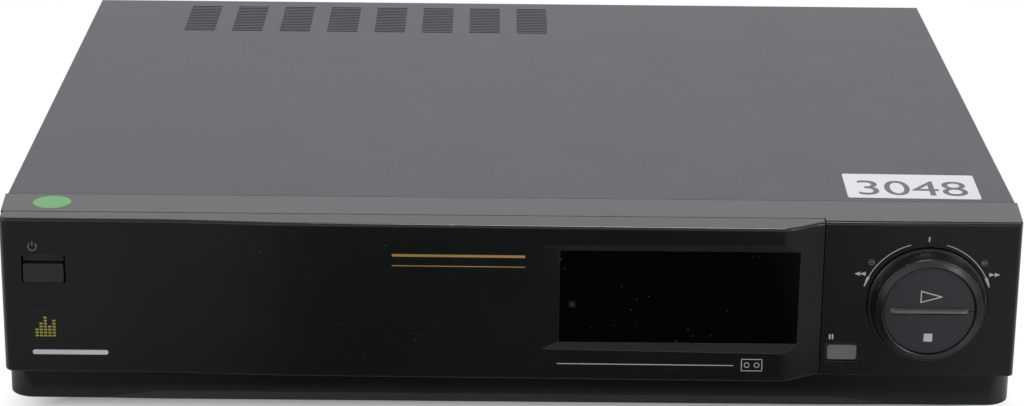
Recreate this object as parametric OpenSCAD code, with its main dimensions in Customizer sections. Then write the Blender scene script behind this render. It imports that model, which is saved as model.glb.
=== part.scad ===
// Video cassette recorder: steel cover, moulded front, drop-down door, shuttle dial and tape mechanism

/* [Body] */
// Width over the front moulding
body_w = 430; // [424:1:440]
// Height from the underside of the plinth to the top plate
body_h = 83.5; // [82:0.5:92]
// Depth from the control face to the back of the cover
body_d = 341; // [334:1:360]
// Height of the feet
foot_h = 5.5; // [4:0.5:8]
// Radius of the feet
foot_r = 11; // [8:0.5:14]
// Depth of the front moulding from the control face to the cover seam
lip_d = 27.5; // [26:0.5:30]
// How much each side of the front moulding narrows towards the front
side_taper = 1.5; // [0.5:0.1:2]
// Wall of the plastic mouldings
wall = 2.4; // [2:0.1:2.8]
// Gap between mouldings that meet
gap = 0.6; // [0.4:0.1:0.8]

/* [Cover] */
// Thickness of the cover steel
cover_t = 1; // [0.8:0.1:1.2]
// Step from the moulding's side to the cover's side
cover_step = 1; // [0.6:0.1:1.4]
// Number of vent patches
vents = 8; // [4:1:10]
// Distance between vent patches
vent_pitch = 24.1; // [22:0.1:26]
// Width of a vent patch
vent_w = 15.5; // [12:0.5:18]
// Slots in a vent patch
vent_slots = 16; // [8:1:20]
// Distance between slots
slot_pitch = 3; // [2.5:0.1:3.2]
// Width of a slot
slot_t = 1.5; // [1:0.1:1.8]

/* [Plinth] */
// Height of the plinth
plinth_h = 14.5; // [12:0.5:18]
// How far the plinth sits behind the control face
plinth_set = 4; // [3.8:0.1:6]
// Corner radius of the plinth
plinth_r = 11; // [6:0.5:14]
// Height of the chin facet
chin_h = 3.4; // [2:0.2:5]
// How far the chin stands in front of the plinth
chin_out = 0.7; // [0.4:0.1:1.6]

/* [Door] */
// Width of the control face beside the door
panel_w = 83.1; // [80:0.1:90]
// How far the door stands out at its left end
out_left = 4.4; // [4.2:0.1:5]
// How far the door stands out in the middle
out_mid = 7; // [6.4:0.1:7.6]
// How far the door stands out before its right-hand curve
out_max = 8.6; // [8:0.1:9.4]
// Depth of the door behind the control face
door_back = 4.7; // [4.4:0.1:5]
// Corner radius of the left end of the door
door_corner = 4; // [3:0.5:6]
// Radius of the door's top edge
door_top_r = 1.3; // [0.8:0.1:3.6]
// Radius of the door's bottom edge
door_foot_r = 0.9; // [0.4:0.1:1.5]
// Distance from the door's left end to where it starts to bow out
bow_start = 61; // [40:1:70]
// Distance from the door's left end to where the bow is full
bow_end = 128; // [110:1:150]
// Length of the curve back to the control face
curve_l = 17.8; // [14:0.2:22]
// Radius of the hinge pins
hinge_pin_r = 1; // [0.8:0.05:1.1]

/* [Window] */
// Width of the bevel at the window's left
bevel_w = 5.6; // [4:0.1:8]
// Height of the bevel above and below the window
bevel_h = 2; // [1.4:0.1:5]
// Depth of the window plane in front of the control face
window_out = 5.8; // [5.4:0.1:6]
// Width of the window
window_w = 100.2; // [92:0.2:102]
// Height of the window
window_h = 41; // [36:0.5:44]
// Distance from the top plate down to the window
window_drop = 11.2; // [10:0.2:14]
// Distance from the window to the door's right end
window_end = 10.2; // [9:0.2:14]

/* [Power button] */
// Width of the power button
power_w = 16.8; // [14:0.2:17.6]
// Height of the power button
power_h = 8.2; // [7:0.2:9]
// Distance from the door's left end to the power button
power_inset = 9; // [8:0.2:12]
// Distance from the top plate down to the power opening
power_drop = 16.2; // [14:0.2:20]
// Height of the indicator bar over the button
indicator_h = 2.6; // [2:0.2:3.4]

/* [Dial] */
// Radius of the dial opening in the control face
dial_hole_r = 25.6; // [25:0.1:26.4]
// Radius of the shuttle ring at its foot
ring_r = 25.1; // [24:0.1:25.2]
// Radius of the shuttle ring at its front edge
ring_front_r = 22.7; // [22:0.1:23.4]
// Radius of the two keys inside the ring
key_r = 19.05; // [18:0.05:19.2]
// How far the keys stand out of the control face
dial_out = 8; // [7:0.2:9]
// Height of the shallow dome on the keys
key_dome = 0.6; // [0.3:0.1:0.9]
// Width of the bar between the keys
bar_w = 2.4; // [2:0.1:3]
// Length of the bar between the keys
bar_l = 33; // [30:0.5:35]
// How far the bar stands out of the keys
bar_out = 2; // [1:0.1:2.6]
// Distance from the top plate down to the dial centre
dial_drop = 36; // [34:0.5:40]
// Distance from the control face's right edge to the dial centre
dial_inset = 38.7; // [38:0.1:42]
// Travel of the keys and buttons
press_travel = 1.2; // [0.8:0.1:1.4]

/* [Pause button] */
// Width of the pause button
pause_w = 12.3; // [10:0.1:13]
// Height of the pause button
pause_h = 6.4; // [5:0.1:7.4]
// Distance from the door to the pause button
pause_inset = 2.8; // [2.7:0.1:4]
// Distance from the top plate down to the pause button
pause_drop = 54.8; // [52:0.2:58]

/* [Cassette slot] */
// Width of the cassette slot
slot_w = 190; // [189:0.5:192]
// Height of the cassette slot
slot_h = 29.5; // [29:0.5:31]
// Depth of a cassette
tape_d = 104; // [100:1:106]
// Inward travel of the carriage
in_travel = 66; // [60:1:70]
// Downward travel of the carriage
drop_travel = 22; // [18:1:24]
// Steel thickness of the lift and deck
plate_t = 1.2; // [1:0.1:1.5]

/* [Mechanism] */
// Height of the deck plate over the floor
deck_z = 28; // [26:0.5:30]
// Radius of the head drum
drum_r = 31; // [28:0.5:32]
// Tilt of the head drum in degrees
drum_tilt = 6; // [4:0.5:7]
// Distance between the reel tables
reel_pitch = 93.5; // [90:0.5:96]
// Radius of a reel table
reel_r = 17; // [14:0.5:19]
// Radius of the capstan shaft
capstan_r = 1.5; // [1.2:0.1:2]
// Travel of the guide rollers
guide_travel = 62; // [54:1:66]

/* [Hidden] */
$fn = 64;

// How far a cutting solid runs past the face it cuts
over = 1;
// Running clearance of a shaft or key
run = 0.05;
// Clearance between pieces that slip past each other
slip = 0.3;

// Screws
screw_r = 1.3;
screw_hole_r = 1.7;
head_r = 3.5;
head_h = 1.6;
cross_l = 3.8;
cross_w = 0.9;
cross_d = 0.9;

// Heights
base_z = foot_h;
top_z = foot_h + body_h;
plinth_top = base_z + plinth_h;
panel_z0 = plinth_top + gap;
cover_under = top_z - cover_t;
lip_under = top_z - wall;

// Widths
half_w = body_w / 2;
front_half = half_w - side_taper;
cover_half = half_w - cover_step;
plinth_half = front_half + 0.4;
inner_half = front_half - wall;
door_x0 = -front_half;
door_x1 = front_half - panel_w;
divider_x0 = door_x1 + gap;
divider_t = wall / 2;
divider_x1 = divider_x0 + divider_t;

// Depths: the control face is at zero, the back of the machine is positive
fascia_y0 = door_back + 1.8;
fascia_y1 = fascia_y0 + wall;
rear_set = 3;
rear_y1 = body_d - rear_set;
rear_y0 = rear_y1 - cover_t;
bar_reach = dial_out + bar_out;
coax_l = 9;
front_reach = max(bar_reach, out_max);
rear_reach = rear_y1 + coax_l;
centre_y = (rear_reach - front_reach) / 2;

// Door curve
bow_x0 = door_x0 + bow_start;
bow_x1 = door_x0 + bow_end;
curve_x0 = door_x1 - curve_l;
curve_w = curve_l + 2.7;
bow_steps = 26;
curve_steps = 16;
arc_steps = 5;
door_h = top_z - panel_z0;
hinge_y = 0.3;
hinge_z = panel_z0 + 3;
foot_sweep = norm([door_back - hinge_y, hinge_z - panel_z0]);
ear_w = 5;
ear_r = 1.9;
lug_w = 2.4;
lug_r = 2.3;
rib_t = 1.6;
hinge_xs = [door_x0 + 36, door_x1 - 24];

// Window
window_x1 = door_x1 - window_end;
window_x0 = window_x1 - window_w;
window_z1 = top_z - window_drop;
window_z0 = window_z1 - window_h;
window_skin = wall - 0.2;
frame_x = window_x0 - 6;

// Power button
power_gap = 0.8;
button_r = 1;
power_hole_w = power_w + 2 * power_gap;
power_hole_h = power_h + indicator_h + 2 * power_gap;
power_x = door_x0 + power_inset + power_hole_w / 2;
power_hole_z1 = top_z - power_drop;
power_hole_z0 = power_hole_z1 - power_hole_h;
power_z = power_hole_z0 + 0.6 + power_h / 2;
indicator_z = power_hole_z1 - 0.3 - indicator_h / 2;
power_hole_z = (power_hole_z0 + power_hole_z1) / 2;

// Cassette slot
slot_x = door_x0 + power_inset + power_hole_w + 4.6 + slot_w / 2;
slot_z1 = top_z - 4.5;
slot_z0 = slot_z1 - slot_h;
flap_t = 1.8;
flap_y0 = fascia_y0 + 0.7;
flap_axis_y = flap_y0 + 1.2;
flap_rod_r = 1.4;
flap_axis_z = slot_z1 - flap_rod_r - slip;
flap_half = slot_w / 2 - slip;
flap_pin_r = 0.7;
flap_pin_l = 2.5;
flap_ear_t = 2.4;
flap_ear_h = 5;

// Cassette lift
bay_z0 = slot_z0 + 0.3;
bay_z1 = slot_z1 - 2.6;
bay_y0 = fascia_y1 + 9;
bay_y1 = bay_y0 + tape_d;
bay_half = slot_w / 2 + 0.5;
ledge_w = 10;
stop_w = 6;
mouth_l = 26;
hole_in = 46;
hole_r = 10;
hole_l = 24;
notch_w = 52;
notch_l = 14;
spring_x = 70;
spring_w = 8;
pin_r = 1.5;
pin_fit = 0.03;
pin_ys = [bay_y0 + 26, bay_y0 + 84];
pin_z = bay_z0 + 15;
slider_x0 = bay_half + plate_t + 0.4;
slider_x1 = slider_x0 + plate_t;
frame_x0 = slider_x1 + 0.4;
frame_x1 = frame_x0 + plate_t;
rail_z = bay_z1 - 3;
frame_y0 = bay_y0 + 2;
frame_y1 = bay_y1 + in_travel + 4;

// Deck
shaft_r = 1.5;
deck_z1 = deck_z + plate_t;
deck_y0 = frame_y0 - 2;
deck_y1 = bay_y1 + in_travel + 60 + drum_r;
deck_half = frame_x1 + 3;
drum_x = slot_x + 6;
drum_y = bay_y1 + in_travel + 52;
reel_y = bay_y0 + in_travel + 49;
reel_z = deck_z + 6;
guide_dx = 38;
guide_y0 = bay_y1 + in_travel - 4;
slot_gap = 0.1;
guide_neck_r = 2.4;
capstan_x = slot_x + 66;
capstan_y = bay_y1 + in_travel + 13;
roller_r = 7;
arm_dx = 17.4;
arm_dy = 19;
arm_x = capstan_x + roller_r + capstan_r + 0.1 + arm_dx;
arm_y = capstan_y + arm_dy;
arm_l = norm([arm_dx, arm_dy]);
arm_swing = 22;
arm_rest = arm_swing - atan2(arm_dx, arm_dy);
arm_z = deck_z1 + 3;
bearing_z1 = deck_z + 8;
roller_z = bearing_z1 + 0.5;
roller_h = 15;
spindle_r = 3;
bearing_r = 4;
leg_r = 3.5;
leg_in = 6;
flywheel_r = 22;
flywheel_z = base_z + 11;
stator_r = 30;
stator_z = base_z + 5;
stator_t = 2;
motor_x = slot_x - deck_half + 12;
motor_y = deck_y1 - 30;
worm_z = deck_z1 + 14;

// Dial
dial_x = front_half - dial_inset;
dial_z = top_z - dial_drop;
ring_bore = key_r + slip;
hub_r = ring_bore - run;
hub_wall = 1.8;
key_gap = 0.15;
key_back = dial_out - 4.1;
hub_front = key_back - press_travel - 0.15;
ring_flange_t = 1.5;
ring_foot_w = 0.9;
ring_foot_h = 1.6;
gear_m = 0.8;
ring_teeth = 60;
encoder_teeth = 15;
gear_angle = 160;
gear_face = 3;
gear_out1 = wall + 0.5 + ring_flange_t;
gear_out2 = gear_out1 + gear_face;
gear_centre = gear_m * (ring_teeth + encoder_teeth) / 2 + 0.12;
board_y0 = 13;
board_t = 1.6;
stem_l = board_y0 - 4 + key_back - press_travel;

// Pause button
pause_gap = 0.7;
pause_x = divider_x0 + pause_inset + pause_w / 2;
pause_z = top_z - pause_drop - pause_h / 2;

// Buttons under the cassette slot
small_w = 15;
small_h = 6;
small_z = slot_z0 - 13;
small_xs = [slot_x - 70, slot_x - 48, slot_x + 30, slot_x + 52];
switch_y0 = fascia_y1 + 4.6;
switch_board_t = 1.2;

// Screw bosses behind the control face
boss_places = [
    [divider_x1 + 5, top_z - 12], [inner_half - 6, top_z - 12],
    [pause_x + pause_w / 2 + 6, panel_z0 + 6], [inner_half - 6, panel_z0 + 6]
];

// Cover
vent_x0 = -157.7;
vent_y0 = body_d - 57.5;
screw_ys = [lip_d + 60, body_d - 30];
screw_z = base_z + 7;

// Front moulding
edge_r = 1.2;
groove_w = 1.2;
groove_d = 1;
chin_x0 = -plinth_half + 34;
chin_x1 = plinth_half - 44;
chin_wave = 34;
chin_steps = 40;

// Sockets on the back
socket_z = top_z - 40;
aerial_x = -half_w + 60;
aerial_w = 48;
aerial_h = 52;
aerial_gap = 10;
coax_r = 4.75;
coax_rise = 14;
scart_x = aerial_x + 78;
scart_w = 48;
scart_h = 13;
scart_rise = 13;
scart_wall = 1.4;
audio_x = scart_x + 70;
audio_pitch = 15;
phono_r = 4.15;
inlet_x = half_w - 36;
inlet_w = 20;
inlet_h = 14;
hole_gap = 0.3;
rear_screw_xs = [-half_w + 20, 0, half_w - 20];
rear_screw_z = top_z - 8;

// Boards on the tray
tray_top = base_z + cover_t;
standoff_h = 2.4;
standoff_r = 3;
standoff_in = 5.5;
pcb_z0 = tray_top + standoff_h;
pcb_z1 = pcb_z0 + board_t;
power_pcb_x1 = half_w - 8;
power_pcb_x0 = power_pcb_x1 - 84;
power_pcb_y1 = rear_y0 - 19;
power_pcb_y0 = power_pcb_y1 - 138;
main_pcb_x0 = slot_x + deck_half + 14;
main_pcb_x1 = power_pcb_x0 - 8.6;
main_pcb_y0 = lip_d + 42.5;
main_pcb_y1 = rear_y0 - 37;
chip_l = 24;
chip_w = 8;
chip_h = 3.5;
chip_pitch = 30;
can_r = 5;
can_h = 12;
can_pitch = 18;
big_can_r = 8;
big_can_h = 26;
fin_t = 1.5;
fin_pitch = 4;
fin_l = 30;
fin_h = 34;
core_w = 36;
core_l = 30;
core_h = 40;
coil_w = 24;
coil_l = 44;
coil_h = 28;

// Smooth step from 0 to 1
function ease(t) = let (u = min(1, max(0, t))) u * u * (3 - 2 * u);

// Straight step from 0 to 1
function ramp(t) = min(1, max(0, t));

// How far the door stands out of the control face at x
function door_out(x) =
    (out_left
        + (out_mid - out_left) * ease((x - bow_x0) / (bow_x1 - bow_x0))
        + (out_max - out_mid) * ramp((x - bow_x1) / (curve_x0 - bow_x1)))
    * (1 - ease((x - curve_x0) / curve_w));

// Stations along the door's front, closer together in the curve at the right
function door_xs() = let (x0 = door_x0 + door_corner) concat(
    [for (i = [1 : bow_steps]) x0 + (curve_x0 - x0) * i / bow_steps],
    [for (i = [1 : curve_steps]) curve_x0 + (door_x1 - curve_x0) * i / curve_steps]);

// Plan outline of the door, with its front and left end drawn in by inset
function door_plan(inset) = concat(
    [[door_x0 + inset, door_back]],
    [for (i = [0 : arc_steps])
        let (a = 90 * i / arc_steps)
        [door_x0 + door_corner - (door_corner - inset) * cos(a),
         -out_left + door_corner - (door_corner - inset) * sin(a)]],
    [for (x = door_xs()) [x, inset - door_out(x)]],
    [[door_x1, door_back]]);

// Heights and insets of the rings that round the door's bottom and top edges
function door_rings() = concat(
    [for (i = [0 : 3]) let (a = 30 * i)
        [panel_z0 + door_foot_r * (1 - cos(a)), door_foot_r * (1 - sin(a))]],
    [for (i = [0 : 5]) let (a = 90 - 18 * i)
        [top_z - door_top_r * (1 - cos(a)), door_top_r * (1 - sin(a))]]);

// Points of a trapezium-toothed spur gear
function gear_points(teeth) =
    let (
        pitch_r = gear_m * teeth / 2,
        tip_r = pitch_r + 0.85 * gear_m,
        root_r = pitch_r - 1.15 * gear_m,
        half_pitch = 0.22 * 360 / teeth,
        flank = 0.3 * gear_m / pitch_r * 57.3)
    [for (i = [0 : teeth - 1], p = [
            [root_r, -half_pitch - flank], [tip_r, flank - half_pitch],
            [tip_r, half_pitch - flank], [root_r, half_pitch + flank]])
        let (a = 360 * i / teeth + p[1])
        p[0] * [cos(a), sin(a)]];

// Puts the machine's middle over the origin
module centred() translate([0, -centre_y, 0]) children();

// Box between two corners
module box(x0, x1, y0, y1, z0, z1) translate([x0, y0, z0]) cube([x1 - x0, y1 - y0, z1 - z0]);

// Flat outline drawn in X and Z, thick from y0 to y1
module along_y(y0, y1) translate([0, y1, 0]) rotate([90, 0, 0]) linear_extrude(y1 - y0) children();

// Flat outline drawn in Y and Z, thick from x0 to x1
module along_x(x0, x1) translate([x0, 0, 0]) rotate([90, 0, 90]) linear_extrude(x1 - x0) children();

// Flat outline drawn in X and Y, thick from z0 to z1
module along_z(z0, z1) translate([0, 0, z0]) linear_extrude(z1 - z0) children();

// Rectangle with round corners about the origin
module rounded(w, h, r) {
    square([w - 2 * r, h], center = true);
    square([w, h - 2 * r], center = true);
    for (sx = [-1, 1], sy = [-1, 1])
        translate([sx * (w / 2 - r), sy * (h / 2 - r)]) circle(r);
}

// Turns a shape drawn about +Z to face out of the control face at the dial
module at_dial() translate([dial_x, 0, dial_z]) rotate([90, 0, 0]) children();

// Closed solid through a stack of plan rings
module stack(rings) {
    n = len(rings[0]);
    points = [for (ring = rings) each ring];
    sides = [for (k = [0 : len(rings) - 2], i = [0 : n - 1])
        let (j = (i + 1) % n)
        each [[k * n + i, (k + 1) * n + i, (k + 1) * n + j], [k * n + i, (k + 1) * n + j, k * n + j]]];
    low = [for (i = [0 : n - 1]) i];
    high = [for (i = [n - 1 : -1 : 0]) (len(rings) - 1) * n + i];
    polyhedron(points, concat([low], sides, [high]));
}

// Cover: folded steel with slotted vents
module top_cover() color([0.22, 0.22, 0.23]) difference() {
    box(-cover_half, cover_half, lip_d + slip, body_d, base_z + 1.5, top_z);
    box(-cover_half + cover_t, cover_half - cover_t, lip_d, body_d + over, base_z, cover_under);
    vent_slits();
    for (s = [-1, 1], y = screw_ys)
        translate([s * cover_half, y, screw_z]) rotate([0, 90, 0])
            cylinder(r = screw_hole_r, h = 4 * cover_t, center = true);
}

module vent_slits() {
    for (i = [0 : vents - 1], j = [0 : vent_slots - 1])
        translate([vent_x0 + i * vent_pitch, vent_y0 + (j + 0.5) * slot_pitch, top_z])
            cube([vent_w, slot_t, 4 * cover_t], center = true);
}

// Plan of the front moulding above the plinth
module front_plan() polygon(concat(
    [[-half_w, lip_d]],
    [for (a = [180 : 15 : 270]) [-front_half + 3, 3] + 3 * [cos(a), sin(a)]],
    [for (a = [270 : 15 : 360]) [front_half - 3, 3] + 3 * [cos(a), sin(a)]],
    [[half_w, lip_d]]));

// Plan of the plinth
module plinth_plan(inset = 0) polygon(concat(
    [[-plinth_half + inset, lip_d]],
    [for (a = [180 : 10 : 270])
        [-plinth_half + plinth_r, plinth_set + plinth_r] + (plinth_r - inset) * [cos(a), sin(a)]],
    [for (a = [270 : 10 : 360])
        [plinth_half - plinth_r, plinth_set + plinth_r] + (plinth_r - inset) * [cos(a), sin(a)]],
    [[plinth_half - inset, lip_d]]));

// Height of the chin facet at x: a long band that runs out in a wave at both ends
function chin_at(x) = chin_h * ease((x - chin_x0) / chin_wave) * ease((chin_x1 - x) / chin_wave);

module chin() {
    xs = [for (i = [0 : chin_steps]) chin_x0 + (chin_x1 - chin_x0) * i / chin_steps];
    root = plinth_set + wall / 2;
    stack([for (x = xs)
        let (h = max(0.02, chin_at(x)), front = plinth_set - chin_out * h / chin_h)
        [[x, front, base_z], [x, root, base_z], [x, root, base_z + h], [x, plinth_set, base_z + h]]]);
}

module front_bezel() color([0.08, 0.08, 0.085]) {
    difference() {
        union() {
            along_z(plinth_top, top_z) front_plan();
            along_z(base_z, plinth_top) plinth_plan();
            chin();
        }
        box(-inner_half, inner_half, wall, lip_d + over, plinth_top, lip_under);
        box(-half_w, half_w, -over, plinth_set, plinth_top - over, panel_z0);
        box(-half_w - over, divider_x0, -over, door_back + gap, plinth_top, top_z + over);
        box(-half_w - over, divider_x0, -over, hinge_y + foot_sweep + 0.1,
            plinth_top, hinge_z + foot_sweep);
        along_z(base_z - over, plinth_top - wall) plinth_plan(wall);
        box(-plinth_half + wall, plinth_half - wall, lip_d - over, lip_d + over,
            base_z - over, plinth_top - wall);
        translate([pause_x, 0, pause_z]) along_y(-over, wall + over)
            rounded(pause_w + 2 * pause_gap, pause_h + 2 * pause_gap + 0.8, 1);
        at_dial() cylinder(r = dial_hole_r, h = 4 * wall, center = true);
        top_round();
        box(divider_x0 - over, half_w + over, edge_r, edge_r + groove_w, top_z - groove_d, top_z + over);
    }
    box(divider_x0, divider_x1, wall / 2, fascia_y1 + wall, plinth_top - 0.1, lip_under + 0.1);
    box(-inner_half + 2, inner_half - 2, lip_d - wall, lip_d + 6, cover_under - 2, cover_under);
    for (p = boss_places)
        translate([p[0], 0, p[1]]) difference() {
            along_y(wall - 0.1, board_y0) circle(3);
            along_y(board_y0 - 8, board_y0 + over) circle(1.2);
        }
}

// Rounds the top edge of the control face
module top_round() along_x(divider_x0 - over, half_w + over) translate([0, top_z]) difference() {
    translate([-over, -edge_r]) square([edge_r + over, edge_r + over]);
    translate([edge_r, -edge_r]) circle(edge_r);
}

// Panel behind the door, with the cassette slot, the buttons and the flap's hinge pins
module inner_fascia() color([0.12, 0.12, 0.125]) {
    fascia_part(-inner_half + 0.2, frame_x);
    for (s = [-1, 1]) flap_ear(s);
}

// Frame round the display, beside the panel
module display_frame() color([0.12, 0.12, 0.125]) fascia_part(frame_x + run, divider_x0 - 0.2);

// Length of the panel behind the door from x0 to x1, with its openings and hinge ears
module fascia_part(x0, x1) {
    front = fascia_y0 - over;
    back = fascia_y1 + over;
    difference() {
        box(x0, x1, fascia_y0, fascia_y1, plinth_top, lip_under - 0.2);
        box(slot_x - slot_w / 2, slot_x + slot_w / 2, front, back, slot_z0, slot_z1);
        box(window_x0 - 1, window_x1 + 1, front, back, window_z0 + 1, window_z1 + 1);
        translate([power_x, 0, power_z]) along_y(front, back)
            square([power_w + 2 * slip, power_h + 2 * slip], center = true);
        for (x = small_xs) translate([x, 0, small_z]) along_y(front, back)
            square([small_w + 2 * slip, small_h + 2 * slip], center = true);
    }
    for (x = hinge_xs) if (x > x0 && x < x1) hinge_ear(x);
}

module hinge_ear(x) difference() {
    union() {
        translate([0, hinge_y, hinge_z]) along_x(x - ear_w / 2, x + ear_w / 2) circle(ear_r);
        box(x - ear_w / 2, x + ear_w / 2, hinge_y, fascia_y0 + 0.1, hinge_z - ear_r, hinge_z + ear_r);
    }
    translate([0, hinge_y, hinge_z]) along_x(x - ear_w, x + ear_w) circle(hinge_pin_r);
}

// Ear behind the fascia and the pin that it holds in one end of the flap
module flap_ear(s) translate([slot_x, 0, flap_axis_z]) mirror([s < 0 ? 1 : 0, 0, 0]) {
    box(slot_w / 2, slot_w / 2 + flap_ear_t, fascia_y1 - 0.1, fascia_y1 + 1.6,
        -flap_ear_h / 2, flap_ear_h / 2);
    translate([0, flap_axis_y, 0])
        along_x(flap_half - flap_pin_l, slot_w / 2 + flap_ear_t / 2) circle(flap_pin_r);
}

// Steel tray under everything
module bottom_chassis() color([0.62, 0.63, 0.64]) {
    tray_half = cover_half - cover_t - 0.2;
    difference() {
        union() {
            box(-tray_half, tray_half, lip_d + slip, rear_y1, base_z, base_z + cover_t);
            box(-plinth_half + 20, plinth_half - 20, plinth_set + wall + 1, lip_d + over,
                base_z, base_z + cover_t);
            for (s = [-1, 1]) translate([s * (tray_half - cover_t / 2), 0, 0])
                box(-cover_t / 2, cover_t / 2, lip_d + slip, rear_y0, base_z, base_z + 12);
        }
        for (s = [-1, 1], y = screw_ys)
            translate([s * tray_half, y, screw_z]) rotate([0, 90, 0])
                cylinder(r = screw_r, h = 4 * cover_t, center = true);
        for (i = [0 : 11]) box(60 + i * 9, 64 + i * 9, 200, 250, base_z - over, base_z + 2 * cover_t);
    }
}

module feet() color([0.05, 0.05, 0.05]) for (sx = [-1, 1], y = [lip_d + 18, rear_y0 - 24])
    translate([sx * (half_w - 40), y, 0]) difference() {
        union() {
            cylinder(r1 = foot_r - 1, r2 = foot_r, h = 1.2);
            translate([0, 0, 1.2]) cylinder(r = foot_r, h = foot_h - 1.2);
        }
        translate([0, 0, -over]) cylinder(r = 4, h = over + 2);
    }

module cover_screws() color([0.1, 0.1, 0.1]) for (s = [-1, 1], y = screw_ys)
    translate([s * cover_half, y, screw_z]) rotate([0, s * 90, 0]) screw(4.5);

// Screw with a cross recess in its head, which sits on z = 0
module screw(l) {
    difference() {
        cylinder(r = head_r, h = head_h);
        for (a = [0, 90]) rotate(a) translate([0, 0, head_h])
            cube([cross_l, cross_w, 2 * cross_d], center = true);
    }
    translate([0, 0, -l]) cylinder(r = screw_r, h = l + 0.1);
}

// Drop-down door: a shell with round edges, open at the back
module front_door() color([0.07, 0.07, 0.075]) {
    difference() {
        union() {
            difference() {
                stack([for (r = door_rings()) [for (p = door_plan(r[1])) [p[0], p[1], r[0]]]]);
                along_z(panel_z0 + wall, lip_under) door_hollow();
            }
            for (x = hinge_xs, s = [-1, 1]) door_lug(x + s * (ear_w / 2 + slip + lug_w / 2));
        }
        window_cut();
        translate([power_x, 0, power_hole_z]) along_y(-out_max - over, door_back + over)
            rounded(power_hole_w, power_hole_h, 0.8);
        for (x = hinge_xs)
            box(x - ear_w / 2 - slip, x + ear_w / 2 + slip, hinge_y - ear_r - 0.8, door_back + over,
                panel_z0 - over, panel_z0 + wall + over);
        for (x = hinge_xs) translate([0, hinge_y, hinge_z])
            along_x(x - ear_w / 2 - slip - lug_w - over, x + ear_w / 2 + slip + lug_w + over)
                circle(hinge_pin_r + run);
    }
    for (x = [window_x0 - 30, slot_x, slot_x - 60])
        box(x, x + rib_t, -window_out + window_skin, door_back - 0.2, lip_under - 9, lip_under + 0.1);
}

// Space behind the door's skin
module door_hollow() polygon(concat(
    [[door_x0 + wall, door_back + over], [door_x0 + wall, wall - out_left + 1],
     [door_x0 + door_corner, wall - out_left]],
    [for (x = door_xs()) if (x < door_x1 - wall) [x, -min(door_out(x) - wall, window_out - window_skin)]],
    [[door_x1 - wall, door_back + over]]));

module window_cut() {
    depth = out_max - window_out + over;
    grow = depth / (out_mid - window_out + 0.4);
    far = -window_out - depth;
    stack([
        [[window_x0, -window_out, window_z0], [door_x1 + over, -window_out, window_z0],
         [door_x1 + over, -window_out, window_z1], [window_x0, -window_out, window_z1]],
        [[window_x0 - bevel_w * grow, far, window_z0 - bevel_h * grow],
         [door_x1 + over, far, window_z0 - bevel_h * grow],
         [door_x1 + over, far, window_z1 + bevel_h * grow],
         [window_x0 - bevel_w * grow, far, window_z1 + bevel_h * grow]]
    ]);
    box(window_x0, window_x1, -window_out - over, 0, window_z0, window_z1);
}

module door_lug(x) {
    translate([0, hinge_y, hinge_z]) along_x(x - lug_w / 2, x + lug_w / 2) circle(lug_r);
    box(x - lug_w / 2, x + lug_w / 2, hinge_y - lug_r, hinge_y + lug_r, panel_z0 + wall / 2, hinge_z);
}

// Smoked window with a flange behind the door's skin
module door_window() color([0.02, 0.02, 0.022, 0.8]) {
    box(window_x0 + 0.1, window_x1 - 0.1, -window_out + 0.1, window_skin - window_out + 0.1,
        window_z0 + 0.1, window_z1 - 0.1);
    box(window_x0 - 2.5, window_x1 - 1.5, window_skin - window_out, window_skin - window_out + 1.2,
        window_z0 - 2.5, window_z1 + 2.5);
}

module hinge_pins() color([0.75, 0.75, 0.76]) for (x = hinge_xs)
    translate([0, hinge_y, hinge_z])
        along_x(x - ear_w / 2 - slip - lug_w, x + ear_w / 2 + slip + lug_w) circle(hinge_pin_r);

// Spring clip under the lip that the door's middle rib snaps into
module door_catch() color([0.7, 0.7, 0.68]) {
    x = slot_x + rib_t / 2;
    box(x - 6, x + 6, fascia_y0 - 1, fascia_y0, lip_under - 8, lip_under - 2);
    for (s = [-1, 1]) translate([x + s * 1.9, 0, 0])
        box(-0.4, 0.4, 2.6, fascia_y0 - 0.9, lip_under - 7, lip_under - 3);
}

// Moulded button: cap, collar behind the panel and a stem to its switch
module button(w, h, front, back, switch_y, collar = 1) {
    along_y(front, back) rounded(w, h, button_r);
    along_y(back, back + 0.8) square([w + 2 * collar, h + 2 * collar], center = true);
    along_y(back + 0.7, switch_y - press_travel - 0.2) circle(1.8);
}

module power_button() color([0.16, 0.16, 0.17])
    translate([power_x, 0, power_z]) button(power_w, power_h, -out_left - 0.6, fascia_y1, switch_y0 - 1);

module power_indicator() color([0.2, 0.2, 0.21])
    translate([power_x, 0, indicator_z]) along_y(-out_left + 1.4, fascia_y0)
        square([power_w, indicator_h], center = true);

module pause_button() color([0.36, 0.37, 0.39])
    translate([pause_x, 0, pause_z]) button(pause_w, pause_h, -0.3, wall, board_y0 - 2, pause_gap + 0.7);

module small_button(i) color([0.25, 0.25, 0.26])
    translate([small_xs[i], 0, small_z])
        button(small_w, small_h, fascia_y0 - 1, fascia_y1, switch_y0 - 1);

module eject_button() small_button(0);
module record_button() small_button(1);
module channel_down_button() small_button(2);
module channel_up_button() small_button(3);

// Board and switches behind the buttons of the fascia
module button_board() color([0.55, 0.42, 0.2]) {
    x1 = small_xs[3] + 14;
    front = switch_y0 + 1;
    back = front + switch_board_t;
    box(-inner_half + 3, x1, front, back, small_z - 8, small_z + 6);
    box(-inner_half + 3, power_x + 10, front, back, small_z, power_z + 6);
    for (x = small_xs) switch_at(x, small_z, switch_y0 + 1, switch_y0 - 0.6);
    switch_at(power_x, power_z, switch_y0 + 1, switch_y0 - 0.6);
    for (x = [-inner_half + 6, slot_x, x1 - 2.4])
        translate([x, 0, small_z - 5]) along_y(fascia_y1, switch_y0 + 1.1) circle(2);
}

// Push switch standing on a board whose face is at y
module switch_at(x, z, y, tip) translate([x, 0, z]) {
    along_y(tip + 0.4, y + 0.1) square([6, 6], center = true);
    along_y(tip, tip + 0.5) circle(1.6);
}

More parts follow.
